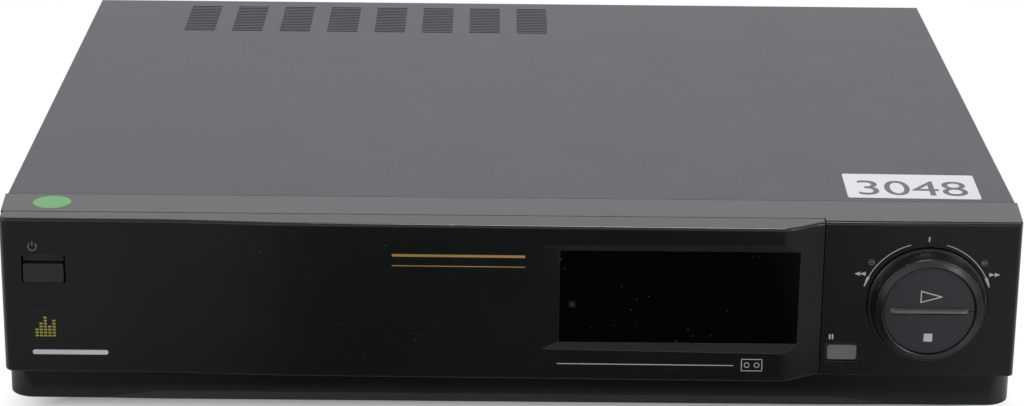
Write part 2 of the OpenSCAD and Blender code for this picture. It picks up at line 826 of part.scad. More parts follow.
// Half of the shallow dome inside the shuttle ring, with the stem that reaches its switch
module key_half() {
    key_t = dial_out - key_back;
    dome_r = (key_r * key_r + key_dome * key_dome) / (2 * key_dome);
    intersection() {
        linear_extrude(key_t + key_dome) difference() {
            circle(key_r);
            translate([-key_r - over, -2 * key_r]) square([2 * key_r + 2 * over, 2 * key_r + key_gap]);
            translate([-bar_l / 2 - key_gap, -over])
                square([bar_l + 2 * key_gap, over + bar_w / 2 + key_gap]);
        }
        translate([0, 0, key_t + key_dome - dome_r]) sphere(r = dome_r, $fn = 240);
    }
    translate([-9, bar_w / 2 + run, -stem_l]) cube([18, 9, stem_l + 0.1]);
}

module play_key() color([0.13, 0.13, 0.135]) at_dial() translate([0, 0, key_back]) key_half();

module stop_key() color([0.13, 0.13, 0.135])
    at_dial() translate([0, 0, key_back]) rotate([0, 0, 180]) key_half();

// Ring that turns about the keys, with a retaining flange and gear teeth behind the face
module shuttle_ring() color([0.09, 0.09, 0.095]) at_dial() {
    shoulder_z = dial_out - 0.9;
    flank = ring_r - ring_foot_w - ring_front_r;
    rotate_extrude() polygon(concat(
        [[ring_bore, -gear_out1], [dial_hole_r + 1.6, -gear_out1], [dial_hole_r + 1.6, -wall - 0.5],
         [ring_r, -wall - 0.5], [ring_r, ring_foot_h - 0.4], [ring_r - 0.4, ring_foot_h]],
        [for (t = [0 : 0.2 : 0.8])
            [ring_front_r + flank * pow(1 - t, 2), ring_foot_h + (shoulder_z - ring_foot_h) * t]],
        [for (a = [0 : 18 : 90]) [ring_front_r + 0.9 * (cos(a) - 1), shoulder_z + 0.9 * sin(a)]],
        [[ring_bore + 0.5, dial_out + 1.2], [ring_bore, dial_out + 0.8]]));
    translate([0, 0, -gear_out2]) linear_extrude(gear_face + 0.1) difference() {
        rotate(gear_angle) polygon(gear_points(ring_teeth));
        circle(ring_bore);
    }
}

// Fixed hub: the tube that the ring turns on and the bar between the keys
module dial_hub() color([0.1, 0.1, 0.105]) at_dial() {
    hub_back = board_y0;
    difference() {
        union() {
            translate([0, 0, -hub_back]) cylinder(r = hub_r, h = hub_front + hub_back);
            translate([0, 0, -hub_back]) cylinder(r = hub_r + 4, h = hub_back - gear_out2 - 0.4);
        }
        translate([0, 0, -hub_back - over])
            cylinder(r = hub_r - hub_wall, h = hub_front + hub_back + 2 * over);
        rotate(gear_angle) translate([gear_centre, 0, -hub_back - over]) cylinder(r = 9, h = hub_back);
    }
    translate([-hub_r + hub_wall / 2, -bar_w / 2, -hub_back])
        cube([2 * hub_r - hub_wall, bar_w, hub_front + hub_back]);
    translate([-bar_l / 2, -bar_w / 2, 0]) cube([bar_l, bar_w, dial_out]);
    hull() {
        translate([-bar_l / 2, -bar_w / 2, dial_out - 0.5]) cube([bar_l, bar_w, 0.5]);
        translate([-bar_l / 2 + 2, -bar_w / 6, dial_out]) cube([bar_l - 4, bar_w / 3, bar_out]);
    }
}

module at_encoder() at_dial() rotate(gear_angle) translate([gear_centre, 0, 0]) children();

module encoder_gear() color([0.85, 0.85, 0.8]) at_encoder() translate([0, 0, -gear_out2])
    linear_extrude(gear_face - 0.2) difference() {
        rotate(180 + 180 / encoder_teeth) polygon(gear_points(encoder_teeth));
        circle(shaft_r + run);
    }

module encoder() color([0.2, 0.22, 0.25]) at_encoder() {
    translate([-6, -6, -board_y0]) cube([12, 12, board_y0 - gear_out2 - 0.4]);
    translate([0, 0, -board_y0 + 1]) cylinder(r = shaft_r, h = board_y0 - gear_out1 - 1.4);
}

// Control board behind the right-hand face
module control_board() color([0.5, 0.4, 0.2]) {
    difference() {
        box(divider_x1 + 1, inner_half - 1, board_y0, board_y0 + board_t, panel_z0 + 2, top_z - 6);
        for (p = boss_places)
            translate([p[0], 0, p[1]]) along_y(board_y0 - over, board_y0 + 2 * board_t) circle(1.5);
    }
    for (s = [-1, 1]) switch_at(dial_x, dial_z + s * (bar_w / 2 + 5), board_y0, board_y0 - 3.8);
    switch_at(pause_x, pause_z, board_y0, board_y0 - 1.6);
    box(dial_x - 12, dial_x + 6, board_y0 + board_t, board_y0 + board_t + 3, panel_z0 + 6, panel_z0 + 16);
}

// Fluorescent display behind the door's window
module display_tube() color([0.06, 0.1, 0.1]) {
    box(window_x0 + 1.5, window_x1 - 1.5, fascia_y1 + 1, fascia_y1 + 5, window_z0 + 4, window_z1 - 4);
    box(window_x0 - 3, window_x1 + 3, fascia_y1 + 5, fascia_y1 + 6.5, window_z0 - 2, window_z1 + 2);
    for (x = [window_x0 - 1, window_x1 + 1], z = [window_z0, window_z1])
        translate([x + (x < (window_x0 + window_x1) / 2 ? -0.8 : 0.8), 0, z])
            along_y(fascia_y1, fascia_y1 + 5.1) circle(0.8);
}

// Flap that closes the cassette slot and swings inwards
module cassette_flap() color([0.1, 0.1, 0.105]) translate([slot_x, 0, 0]) {
    difference() {
        union() {
            box(-flap_half, flap_half, flap_y0, flap_y0 + flap_t, slot_z0 + slip, flap_axis_z + 1);
            translate([0, flap_axis_y, flap_axis_z]) along_x(-flap_half, flap_half) circle(flap_rod_r);
        }
        for (s = [-1, 1]) translate([s * flap_half, flap_axis_y, flap_axis_z])
            along_x(-flap_pin_l - slip, flap_pin_l + slip) circle(flap_pin_r + run);
    }
    for (x = [-60, 0, 60])
        box(x, x + 1.2, flap_y0 + flap_t - 0.1, flap_y0 + flap_t + 1, slot_z0 + 3, flap_axis_z - 3);
}

// Slot with round ends along X, cut through a plate that starts at z
module long_hole(x, y, z, l, r, h) translate([x, y, z]) {
    for (s = [-1, 1]) translate([s * l / 2, 0, 0]) cylinder(r = r, h = h);
    translate([-l / 2, -r, 0]) cube([l, 2 * r, h]);
}

// Top plate of the cassette holder, with its two pressure springs
module cassette_carriage() color([0.72, 0.73, 0.74]) {
    cut = plate_t + 2 * over;
    difference() {
        box(slot_x - bay_half - plate_t, slot_x + bay_half + plate_t, bay_y0 + mouth_l, bay_y1 + plate_t,
            bay_z1, bay_z1 + plate_t);
        for (s = [-1, 1])
            long_hole(slot_x + s * hole_in, bay_y0 + mouth_l + 32, bay_z1 - over, hole_l, hole_r, cut);
        box(slot_x - notch_w / 2, slot_x + notch_w / 2, bay_y1 - notch_l, bay_y1 + 2 * over,
            bay_z1 - over, bay_z1 - over + cut);
    }
    for (s = [-1, 1]) translate([slot_x + s * spring_x, 0, bay_z1 + plate_t])
        box(-spring_w / 2, spring_w / 2, bay_y0 + mouth_l + 4, bay_y0 + mouth_l + 54, -0.1, 0.5);
}

// Sides of the cassette holder: wall, ledge under the cassette, back stop and two riveted pins
module carriage_sides() color([0.7, 0.71, 0.72]) for (s = [-1, 1])
    translate([slot_x, 0, 0]) mirror([s < 0 ? 1 : 0, 0, 0]) {
        difference() {
            box(bay_half, bay_half + plate_t, bay_y0, bay_y1, bay_z0 - plate_t, bay_z1);
            holder_pins(bay_half - over, bay_half + plate_t + over, pin_r + pin_fit);
        }
        box(bay_half - ledge_w, bay_half + 0.1, bay_y0, bay_y1, bay_z0 - plate_t, bay_z0);
        box(bay_half - stop_w, bay_half + 0.1, bay_y1 - 0.1, bay_y1 + plate_t, bay_z0 - plate_t, bay_z1);
        holder_pins(bay_half, frame_x1 + pin_r, pin_r);
    }

// The two pins of one side of the holder, or their holes
module holder_pins(x0, x1, r) for (y = pin_ys) translate([0, y, pin_z]) along_x(x0, x1) circle(r);

// Plate that carries the holder's pins inwards along the frame
module slider(s) translate([slot_x, 0, 0]) mirror([s < 0 ? 1 : 0, 0, 0]) {
    difference() {
        box(slider_x0, slider_x1, bay_y0 + 8, bay_y1 - 4, pin_z - drop_travel - 6, rail_z + 3);
        for (y = pin_ys)
            box(slider_x0 - over, slider_x1 + over, y - pin_r - 0.1, y + pin_r + 0.1,
                pin_z - drop_travel - pin_r - 0.2, pin_z + pin_r + 0.2);
    }
    for (y = [bay_y0 + 14, bay_y1 - 12]) translate([0, y, rail_z])
        along_x(slider_x1 - 0.5, frame_x1 + 1.2) circle(pin_r);
}

module left_slider() color([0.7, 0.7, 0.72]) slider(-1);
module right_slider() color([0.7, 0.7, 0.72]) slider(1);

// Side of the cassette lift
module lift_frame(s) translate([slot_x, 0, 0]) mirror([s < 0 ? 1 : 0, 0, 0]) {
    difference() {
        box(frame_x0, frame_x1, frame_y0, frame_y1, deck_z1, rail_z + 4);
        box(frame_x0 - over, frame_x1 + over, pin_ys[0] - 3, pin_ys[1] + in_travel + 3,
            pin_z - drop_travel - 3, pin_z + 3);
        for (y = [bay_y0 + 14, bay_y1 - 12])
            box(frame_x0 - over, frame_x1 + over, y - pin_r - 0.1, y + in_travel + pin_r + 0.1,
                rail_z - pin_r - run, rail_z + pin_r + run);
    }
    for (y = [frame_y0 + 12, frame_y1 - 20])
        box(frame_x0, frame_x1 + 2.6, y, y + 10, deck_z1, deck_z1 + plate_t);
}

module left_lift_frame() color([0.66, 0.67, 0.68]) lift_frame(-1);
module right_lift_frame() color([0.66, 0.67, 0.68]) lift_frame(1);

// Steel deck on legs
module mechanism_deck() color([0.68, 0.69, 0.7]) {
    cut = plate_t + 2 * over;
    difference() {
        box(slot_x - deck_half, slot_x + deck_half, deck_y0, deck_y1, deck_z, deck_z1);
        for (s = [-1, 1]) {
            guide_slot(s);
            translate([slot_x + s * reel_pitch / 2, reel_y, deck_z - over])
                cylinder(r = spindle_r + run, h = cut);
        }
        translate([capstan_x, capstan_y, deck_z - over]) cylinder(r = bearing_r, h = cut);
    }
    for (s = [-1, 1]) translate([slot_x + s * reel_pitch / 2, reel_y, deck_z1 - 0.1]) difference() {
        cylinder(r = spindle_r + 2, h = 1.1);
        translate([0, 0, -over]) cylinder(r = spindle_r + run, h = cut);
    }
    translate([arm_x, arm_y, deck_z1 - 0.1]) cylinder(r = shaft_r, h = 11);
    for (x = [-deck_half + leg_in, deck_half - leg_in], y = [lip_d + 8, deck_y1 - 8])
        translate([slot_x + x, y, tray_top]) cylinder(r = leg_r, h = deck_z - tray_top + 0.1);
}

// Slot that a guide roller's neck runs in
module guide_slot(s) {
    r = guide_neck_r + slot_gap;
    x = drum_x + s * guide_dx;
    for (y = [guide_y0, guide_y0 + guide_travel])
        translate([x, y, deck_z - over]) cylinder(r = r, h = plate_t + 2 * over);
    box(x - r, x + r, guide_y0, guide_y0 + guide_travel, deck_z - over, deck_z1 + over);
}

module at_drum() translate([drum_x, drum_y, deck_z1]) children();

// Fixed half of the head drum on its base
module lower_drum() color([0.78, 0.79, 0.8]) at_drum() {
    cylinder(r = drum_r - 6, h = 6);
    translate([0, 0, 4]) rotate([-drum_tilt, 0, 0]) difference() {
        union() {
            cylinder(r = drum_r, h = 14);
            cylinder(r = drum_r + 0.5, h = 3);
        }
        translate([0, 0, 3]) cylinder(r = 4 + run, h = 14);
    }
}

// Spinning half with the video heads
module upper_drum() color([0.85, 0.86, 0.87]) at_drum()
    translate([0, 0, 4]) rotate([-drum_tilt, 0, 0]) {
        translate([0, 0, 3.2]) cylinder(r = 4, h = 12);
        difference() {
            translate([0, 0, 14.3]) cylinder(r = drum_r, h = 15);
            translate([0, 0, 24]) difference() {
                cylinder(r = drum_r - 4, h = 14);
                cylinder(r = 11, h = 3);
            }
            for (a = [0, 180]) rotate(a) translate([drum_r, 0, 14.3]) cube([3, 4, 4], center = true);
        }
    }

// Capstan shaft with the flywheel of its motor under the deck
module capstan_flywheel() color([0.8, 0.8, 0.82]) translate([capstan_x, capstan_y, 0]) {
    translate([0, 0, flywheel_z - 3]) cylinder(r = capstan_r, h = roller_z + roller_h + 5 - flywheel_z);
    translate([0, 0, flywheel_z]) cylinder(r = flywheel_r, h = 5);
}

module capstan_bearing() color([0.72, 0.58, 0.3]) translate([capstan_x, capstan_y, 0]) difference() {
    union() {
        translate([0, 0, flywheel_z + 6]) cylinder(r = bearing_r, h = bearing_z1 - flywheel_z - 6);
        translate([0, 0, deck_z1]) cylinder(r = bearing_r + 1.5, h = 2);
    }
    translate([0, 0, flywheel_z]) cylinder(r = capstan_r + run, h = bearing_z1);
}

// Stator plate under the flywheel, hung from the deck by three posts
module capstan_motor() color([0.3, 0.33, 0.3]) translate([capstan_x, capstan_y, 0]) {
    difference() {
        translate([0, 0, stator_z]) cylinder(r = stator_r, h = stator_t);
        translate([0, 0, stator_z - over]) cylinder(r = 2 * capstan_r, h = stator_t + 2 * over);
    }
    for (a = [0, 100, 250]) rotate(a) translate([stator_r - 4, 0, stator_z + 1])
        cylinder(r = 2.4, h = deck_z - stator_z - 1);
    for (a = [0 : 40 : 320])
        rotate(a) translate([14, 0, stator_z + stator_t - 0.1]) cylinder(r = 3.4, h = 2.6);
}

// Swinging arm with the pinch roller's shaft
module at_arm() translate([arm_x, arm_y, 0]) rotate(arm_rest) children();

module pinch_arm() color([0.7, 0.7, 0.72]) {
    translate([arm_x, arm_y, deck_z1]) difference() {
        cylinder(r = 4, h = 9);
        translate([0, 0, -over]) cylinder(r = shaft_r + run, h = 12);
    }
    translate([0, 0, arm_z]) at_arm() difference() {
        translate([-3, -arm_l - 3, 0]) cube([6, arm_l + 3, 1.4]);
        translate([0, 0, -over]) cylinder(r = 3, h = 4);
    }
    translate([0, 0, arm_z]) at_roller() cylinder(r = shaft_r, h = roller_z + roller_h + 1 - arm_z);
    translate([0, 0, arm_z + 1.3]) at_roller() cylinder(r = 3, h = roller_z - arm_z - 1.5);
}

// Puts a shape on the far end of the pinch arm
module at_roller() at_arm() translate([0, -arm_l, 0]) children();

module pinch_roller() color([0.06, 0.06, 0.06]) translate([0, 0, roller_z]) at_roller()
    difference() {
        cylinder(r = roller_r, h = roller_h);
        translate([0, 0, -over]) cylinder(r = shaft_r + run, h = roller_h + 2 * over);
    }

// Reel table: flange, hub with three teeth, and spindle shaft through the deck
module reel_table(s) translate([slot_x + s * reel_pitch / 2, reel_y, 0]) {
    translate([0, 0, deck_z - 4]) cylinder(r = spindle_r, h = reel_z - deck_z + 4.1);
    translate([0, 0, deck_z - 6]) cylinder(r = 5, h = 2.1);
    translate([0, 0, deck_z1 + 1]) cylinder(r = reel_r, h = reel_z - deck_z1 - 1);
    translate([0, 0, reel_z - 0.1]) cylinder(r = 5.5, h = 9);
    translate([0, 0, reel_z + 8.8]) cylinder(r1 = 5.5, r2 = 2.5, h = 3);
    for (a = [0, 120, 240]) rotate(a) translate([5, -0.8, reel_z - 0.1]) cube([2.6, 1.6, 7]);
}

module supply_reel_table() color([0.88, 0.88, 0.86]) reel_table(-1);
module takeup_reel_table() color([0.88, 0.88, 0.86]) reel_table(1);

// Guide roller on its sliding base
module guide_roller(s) translate([drum_x + s * guide_dx, guide_y0, 0]) {
    translate([0, 0, deck_z - 2.6]) cylinder(r = 4.6, h = 2.5);
    translate([0, 0, deck_z - 0.2]) cylinder(r = guide_neck_r, h = plate_t + 0.4);
    translate([0, 0, deck_z1 + 0.1]) cylinder(r = 5, h = 2.4);
    translate([0, 0, deck_z1 + 2.4]) cylinder(r = 1, h = 24);
    translate([0, 0, deck_z1 + 6]) cylinder(r = 2.8, h = 1);
    translate([0, 0, deck_z1 + 6.9]) cylinder(r = 2, h = 14);
    translate([0, 0, deck_z1 + 20.8]) cylinder(r = 2.8, h = 1);
}

module supply_guide() color([0.8, 0.81, 0.82]) guide_roller(-1);
module takeup_guide() color([0.8, 0.81, 0.82]) guide_roller(1);

module fixed_guides() color([0.8, 0.81, 0.82]) for (p = [[-72, 8], [-52, 30], [54, 4]])
    translate([slot_x + p[0], bay_y1 + in_travel + 8 + p[1], deck_z1]) {
        cylinder(r = 2.6, h = 4);
        cylinder(r = 1.6, h = 24);
        translate([0, 0, 23]) cylinder(r = 2.6, h = 1.2);
    }

module erase_head() color([0.6, 0.6, 0.6]) translate([slot_x - 64, bay_y1 + in_travel + 26, deck_z1]) {
    box(-6, 6, -4, 4, 0, 6);
    box(-5, 5, -3, 5, 5.9, 24);
}

module audio_head() color([0.6, 0.6, 0.6]) translate([slot_x + 62, bay_y1 + in_travel + 30, deck_z1]) {
    box(-8, 8, -6, 6, 0, 3);
    box(-7, 5, -5, 3, 2.9, 26);
    translate([5, 4, 0]) cylinder(r = 1.5, h = 26);
}

// Motor that drives the lift and the loading, with its worm
module loading_motor() color([0.75, 0.76, 0.77]) translate([motor_x, motor_y, deck_z1]) {
    box(-8, 10, -12, 12, 0, 4);
    translate([0, -10, worm_z - deck_z1]) rotate([-90, 0, 0]) cylinder(r = 10, h = 20);
    box(-6, 6, -9, 9, 3, 8);
}

module loading_worm() color([0.9, 0.88, 0.8])
    translate([motor_x, motor_y - 10.2, worm_z]) rotate([90, 0, 0]) {
    cylinder(r = 2, h = 18);
    for (i = [0 : 4]) translate([0, 0, 2 + 3 * i]) cylinder(r = 4, h = 1.4);
}

// Circuit board on four standoffs
module circuit_board(x0, x1, y0, y1) {
    box(x0, x1, y0, y1, pcb_z0, pcb_z1);
    for (x = [x0 + standoff_in, x1 - standoff_in], y = [y0 + standoff_in, y1 - standoff_in])
        translate([x, y, tray_top]) cylinder(r = standoff_r, h = standoff_h + 0.1);
}

// Block that stands on a circuit board
module block(x0, x1, y0, y1, h) box(x0, x1, y0, y1, pcb_z1 - 0.1, pcb_z1 + h);

// Main circuit board beside the deck
module main_board() color([0.15, 0.35, 0.2]) {
    chip_x0 = main_pcb_x0 + 10;
    can_x = main_pcb_x1 - 36;
    circuit_board(main_pcb_x0, main_pcb_x1, main_pcb_y0, main_pcb_y1);
    for (i = [0 : 3]) let (y = main_pcb_y0 + 14 + i * chip_pitch)
        block(chip_x0, chip_x0 + chip_l, y, y + chip_w, chip_h);
    for (i = [0 : 4]) translate([can_x, main_pcb_y0 + 20 + i * can_pitch, pcb_z1 - 0.1])
        cylinder(r = can_r, h = can_h);
    block(main_pcb_x1 - 24, main_pcb_x1 - 8, main_pcb_y0 + 50, main_pcb_y0 + 90, 16);
    block(main_pcb_x0 + 12, main_pcb_x1 - 14, main_pcb_y1 - 70, main_pcb_y1 - 30, 18);
}

// Power board with its capacitors and a finned heat sink
module power_board() color([0.5, 0.4, 0.2]) {
    sink_x0 = power_pcb_x0 + 34;
    sink_y0 = power_pcb_y0 + 16;
    circuit_board(power_pcb_x0, power_pcb_x1, power_pcb_y0, power_pcb_y1);
    for (i = [0 : 2]) translate([power_pcb_x0 + 16, power_pcb_y0 + 20 + i * 20, pcb_z1 - 0.1])
        cylinder(r = big_can_r, h = big_can_h);
    for (i = [0 : 5]) let (x = sink_x0 + i * fin_pitch)
        block(x, x + fin_t, sink_y0, sink_y0 + fin_l, fin_h);
    block(sink_x0, sink_x0 + 5 * fin_pitch + fin_t, sink_y0, sink_y0 + fin_l, 3);
}

// Laminated core with its coil, on the power board
module transformer() color([0.35, 0.3, 0.25])
    translate([power_pcb_x1 - 32, power_pcb_y1 - 40, pcb_z1]) {
        box(-core_w / 2, core_w / 2, -core_l / 2, core_l / 2, 0, core_h);
        translate([0, 0, (core_h - coil_h) / 2])
            box(-coil_w / 2, coil_w / 2, -coil_l / 2, coil_l / 2, 0, coil_h);
    }

// Screened aerial module with its two sockets: the upper one is the input
module aerial_module() color([0.7, 0.71, 0.72]) {
    depth = rear_y0 - deck_y1 - aerial_gap;
    box(aerial_x - aerial_w / 2, aerial_x + aerial_w / 2, rear_y0 - depth, rear_y0,
        socket_z - aerial_h / 2, socket_z + aerial_h / 2);
    for (s = [-1, 1]) translate([aerial_x, 0, socket_z + s * coax_rise]) difference() {
        along_y(rear_y0 - over, rear_reach) circle(coax_r);
        along_y(rear_y0, rear_reach + over) difference() {
            circle(s > 0 ? coax_r - 0.8 : 1.2);
            if (s > 0) circle(1.15);
        }
    }
}

// Outline of a SCART shell with its cut corner, drawn in by inset
module scart_shell(inset) {
    w = scart_w / 2 - inset;
    h = scart_h / 2 - inset;
    polygon([[-w, -h], [w - 4, -h], [w, 4.5 - h], [w, h], [-w, h]]);
}

// Pair of SCART sockets, one above the other
module scart_sockets() color([0.1, 0.1, 0.1]) for (s = [-1, 1])
    translate([scart_x, 0, socket_z + s * scart_rise]) {
    difference() {
        along_y(rear_y0 - 12, rear_y1 + 6) scart_shell(0);
        along_y(rear_y1 - 4, rear_y1 + 6 + over) difference() {
            scart_shell(scart_wall);
            scart_shell(2 * scart_wall);
        }
        for (i = [0 : 9]) along_y(rear_y1 + 1, rear_y1 + 6 + over)
            translate([(i - 4.5) * 3.8, i % 2 == 0 ? 1.8 : -1.8]) square([2.2, 0.8], center = true);
    }
    along_y(rear_y0 - 2, rear_y0) square([scart_w + 8, scart_h + 7], center = true);
}

// Row of phono sockets
module audio_sockets() color([0.12, 0.12, 0.12]) {
    half = 1.6 * audio_pitch;
    box(audio_x - half, audio_x + half, rear_y0 - 10, rear_y0, socket_z - 8, socket_z + 8);
    for (i = [-1 : 1]) translate([audio_x + i * audio_pitch, 0, socket_z]) difference() {
        along_y(rear_y0 - 0.1, rear_y1 + 7) circle(phono_r);
        along_y(rear_y0 + 1, rear_y1 + 7 + over) circle(1.6);
    }
}

// Two-pole mains inlet
module mains_inlet() color([0.06, 0.06, 0.06]) translate([inlet_x, 0, socket_z]) difference() {
    union() {
        along_y(rear_y0 - 18, rear_y1 + 0.5) square([inlet_w, inlet_h], center = true);
        along_y(rear_y1, rear_y1 + 1.6) rounded(inlet_w + 6, inlet_h + 3, 2);
    }
    along_y(rear_y0 - 12, rear_y1 + 3) difference() {
        union() {
            rounded(inlet_w - 6, inlet_h - 6, (inlet_h - 6.2) / 2);
            translate([-2.6, 0]) square([inlet_w - 11.2, inlet_h - 6], center = true);
        }
        for (s = [-1, 1]) translate([s * 4.3, 0]) circle(1.2);
    }
}

// Steel back with cut-outs that follow the sockets
module rear_panel() color([0.3, 0.3, 0.31]) {
    panel_half = cover_half - cover_t - 0.4;
    difference() {
        box(-panel_half, panel_half, rear_y0, rear_y1, tray_top, cover_under - 0.2);
        along_y(rear_y0 - over, rear_y1 + over) {
            for (s = [-1, 1]) translate([aerial_x, socket_z + s * coax_rise]) circle(coax_r + hole_gap);
            for (s = [-1, 1]) translate([scart_x, socket_z + s * scart_rise])
                square([scart_w + 2 * hole_gap, scart_h + 2 * hole_gap], center = true);
            for (i = [-1 : 1]) translate([audio_x + i * audio_pitch, socket_z]) circle(phono_r + hole_gap);
            translate([inlet_x, socket_z])
                square([inlet_w + 2 * hole_gap, inlet_h + 2 * hole_gap], center = true);
            for (x = rear_screw_xs) translate([x, rear_screw_z]) circle(screw_hole_r);
            for (i = [0 : 9]) translate([main_pcb_x0 + 7 * i, socket_z - 14]) square([3, 28]);
        }
    }
}

module rear_screws() color([0.1, 0.1, 0.1]) for (x = rear_screw_xs)
    translate([x, rear_y1, rear_screw_z]) rotate([-90, 0, 0]) screw(5);

centred() top_cover();
centred() front_bezel();
centred() inner_fascia();
centred() display_frame();
centred() bottom_chassis();
centred() rear_panel();
centred() feet();
centred() cover_screws();
centred() front_door();
centred() door_window();
centred() hinge_pins();
centred() door_catch();
centred() power_button();
centred() power_indicator();
centred() pause_button();
centred() play_key();
centred() stop_key();
centred() shuttle_ring();
centred() dial_hub();
centred() encoder_gear();
centred() encoder();
centred() control_board();
centred() eject_button();
centred() record_button();
centred() channel_down_button();
centred() channel_up_button();
centred() button_board();
centred() display_tube();
centred() cassette_flap();
centred() cassette_carriage();
centred() carriage_sides();
centred() left_slider();
centred() right_slider();
centred() left_lift_frame();
centred() right_lift_frame();
centred() mechanism_deck();
centred() lower_drum();
centred() upper_drum();
centred() capstan_flywheel();
centred() capstan_bearing();
centred() capstan_motor();
centred() pinch_arm();
centred() pinch_roller();
centred() supply_reel_table();
centred() takeup_reel_table();
centred() supply_guide();
centred() takeup_guide();
centred() fixed_guides();
centred() erase_head();
centred() audio_head();
centred() loading_motor();
centred() loading_worm();
centred() main_board();
centred() power_board();
centred() transformer();
centred() aerial_module();
centred() scart_sockets();
centred() audio_sockets();
centred() mains_inlet();
centred() rear_screws();
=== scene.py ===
"""Finishes, printed marks and small trim of a front-loading video cassette recorder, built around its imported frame.

Laid out as an add-on: property groups hold the sizes and colours, one operator makes each group of pieces,
a panel lists the operators, and main() runs them in order. Lengths in the properties are millimetres.
"""

import math

import bmesh
import bpy
import numpy as np
from bpy.props import FloatProperty, FloatVectorProperty, IntProperty, PointerProperty
from mathutils import Matrix, Vector
from mathutils.bvhtree import BVHTree


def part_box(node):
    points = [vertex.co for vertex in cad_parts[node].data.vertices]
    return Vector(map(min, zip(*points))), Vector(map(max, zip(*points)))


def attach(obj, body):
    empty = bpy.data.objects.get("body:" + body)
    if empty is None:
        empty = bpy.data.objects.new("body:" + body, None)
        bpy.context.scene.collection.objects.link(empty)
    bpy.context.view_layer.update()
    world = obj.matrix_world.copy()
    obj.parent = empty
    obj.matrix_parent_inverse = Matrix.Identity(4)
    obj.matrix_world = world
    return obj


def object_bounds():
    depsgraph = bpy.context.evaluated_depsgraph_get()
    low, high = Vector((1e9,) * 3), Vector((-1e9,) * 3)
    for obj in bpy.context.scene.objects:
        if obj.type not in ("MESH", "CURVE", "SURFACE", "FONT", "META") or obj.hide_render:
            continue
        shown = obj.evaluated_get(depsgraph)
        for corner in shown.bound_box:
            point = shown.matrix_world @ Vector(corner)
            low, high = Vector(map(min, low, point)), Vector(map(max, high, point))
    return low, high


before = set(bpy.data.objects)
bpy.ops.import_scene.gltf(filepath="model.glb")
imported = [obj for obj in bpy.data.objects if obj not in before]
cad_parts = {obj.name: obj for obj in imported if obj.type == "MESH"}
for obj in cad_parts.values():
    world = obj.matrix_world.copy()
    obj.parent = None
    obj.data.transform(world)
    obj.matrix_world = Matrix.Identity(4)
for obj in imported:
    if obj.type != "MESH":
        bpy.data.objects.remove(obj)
CAD_BOX = [list(corner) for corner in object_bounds()]

bl_info = {
    "name": "Video cassette recorder",
    "version": (1, 0, 0),
    "blender": (4, 5, 0),
    "location": "View3D > Sidebar > Recorder",
    "description": "Finishes, printed marks and trim for a packed video cassette recorder",
    "category": "Object",
}

MM = 0.001

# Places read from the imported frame, in metres
FACE_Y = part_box("front_bezel")[0].y
TOP_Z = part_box("front_bezel")[1].z
COVER_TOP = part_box("top_cover")[1].z
DIAL = (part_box("shuttle_ring")[0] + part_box("shuttle_ring")[1]) / 2
KEY_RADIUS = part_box("play_key")[1].z - DIAL.z

# Height of the shallow dome across both keys, in metres
KEY_DOME = 0.6 * MM

# How far left of the dial's middle the marks round it are printed, in millimetres
MARK_SHIFT = 0.5

# How deep marks and stickers sink into what carries them, in millimetres
SINK = 0.01
STICKER_SINK = 0.005

# Where the door's bow is measured: share of its height, and number of rays across its width
PROFILE_LEVEL = 0.13
PROFILE_RAYS = 80


def colour_property(name, description, default):
    """A colour that a user may change, in linear light."""
    return FloatVectorProperty(name=name, description=description, default=default, subtype="COLOR", size=3,
                               min=0.0, max=1.0)


def length_property(name, description, default):
    """A length in millimetres that a user may change."""
    return FloatProperty(name=name, description=description, default=default, min=0.0, unit="NONE",
                         subtype="DISTANCE")


class RecorderSizes(bpy.types.PropertyGroup):
    """Sizes of the printed marks, stickers and trim, in millimetres."""

    ink: length_property("Ink", "Thickness of a printed mark", 0.05)
    arc_radius: length_property("Arc radius", "Radius of the arcs beside the dial", 27.4)
    arc_line: length_property("Arc line", "Width of an arc along its thin part", 0.34)
    arc_end: length_property("Arc end", "Width of the short wedge at the arc's lower end", 1.3)
    tick_height: length_property("Tick height", "Height of the tick over the dial", 2.2)
    tick_width: length_property("Tick width", "Width of the tick over the dial", 0.55)
    triangle: length_property("Winding triangle", "Length of one winding triangle", 2.3)
    play_length: length_property("Play triangle", "Length of the play outline", 8.7)
    stop_side: length_property("Stop square", "Side of the stop square", 3.6)
    gold_length: length_property("Gold line", "Length of the gold lines on the door", 55.4)
    emblem_side: length_property("Emblem side", "Side of the bar-graph emblem", 12.8)
    dot_radius: length_property("Round sticker", "Radius of the round sticker", 8.0)
    label_width: length_property("Label width", "Width of the number label", 57.0)
    label_depth: length_property("Label depth", "Depth of the number label", 32.0)
    label_number: IntProperty(name="Label number", description="Number printed on the label", default=3048)


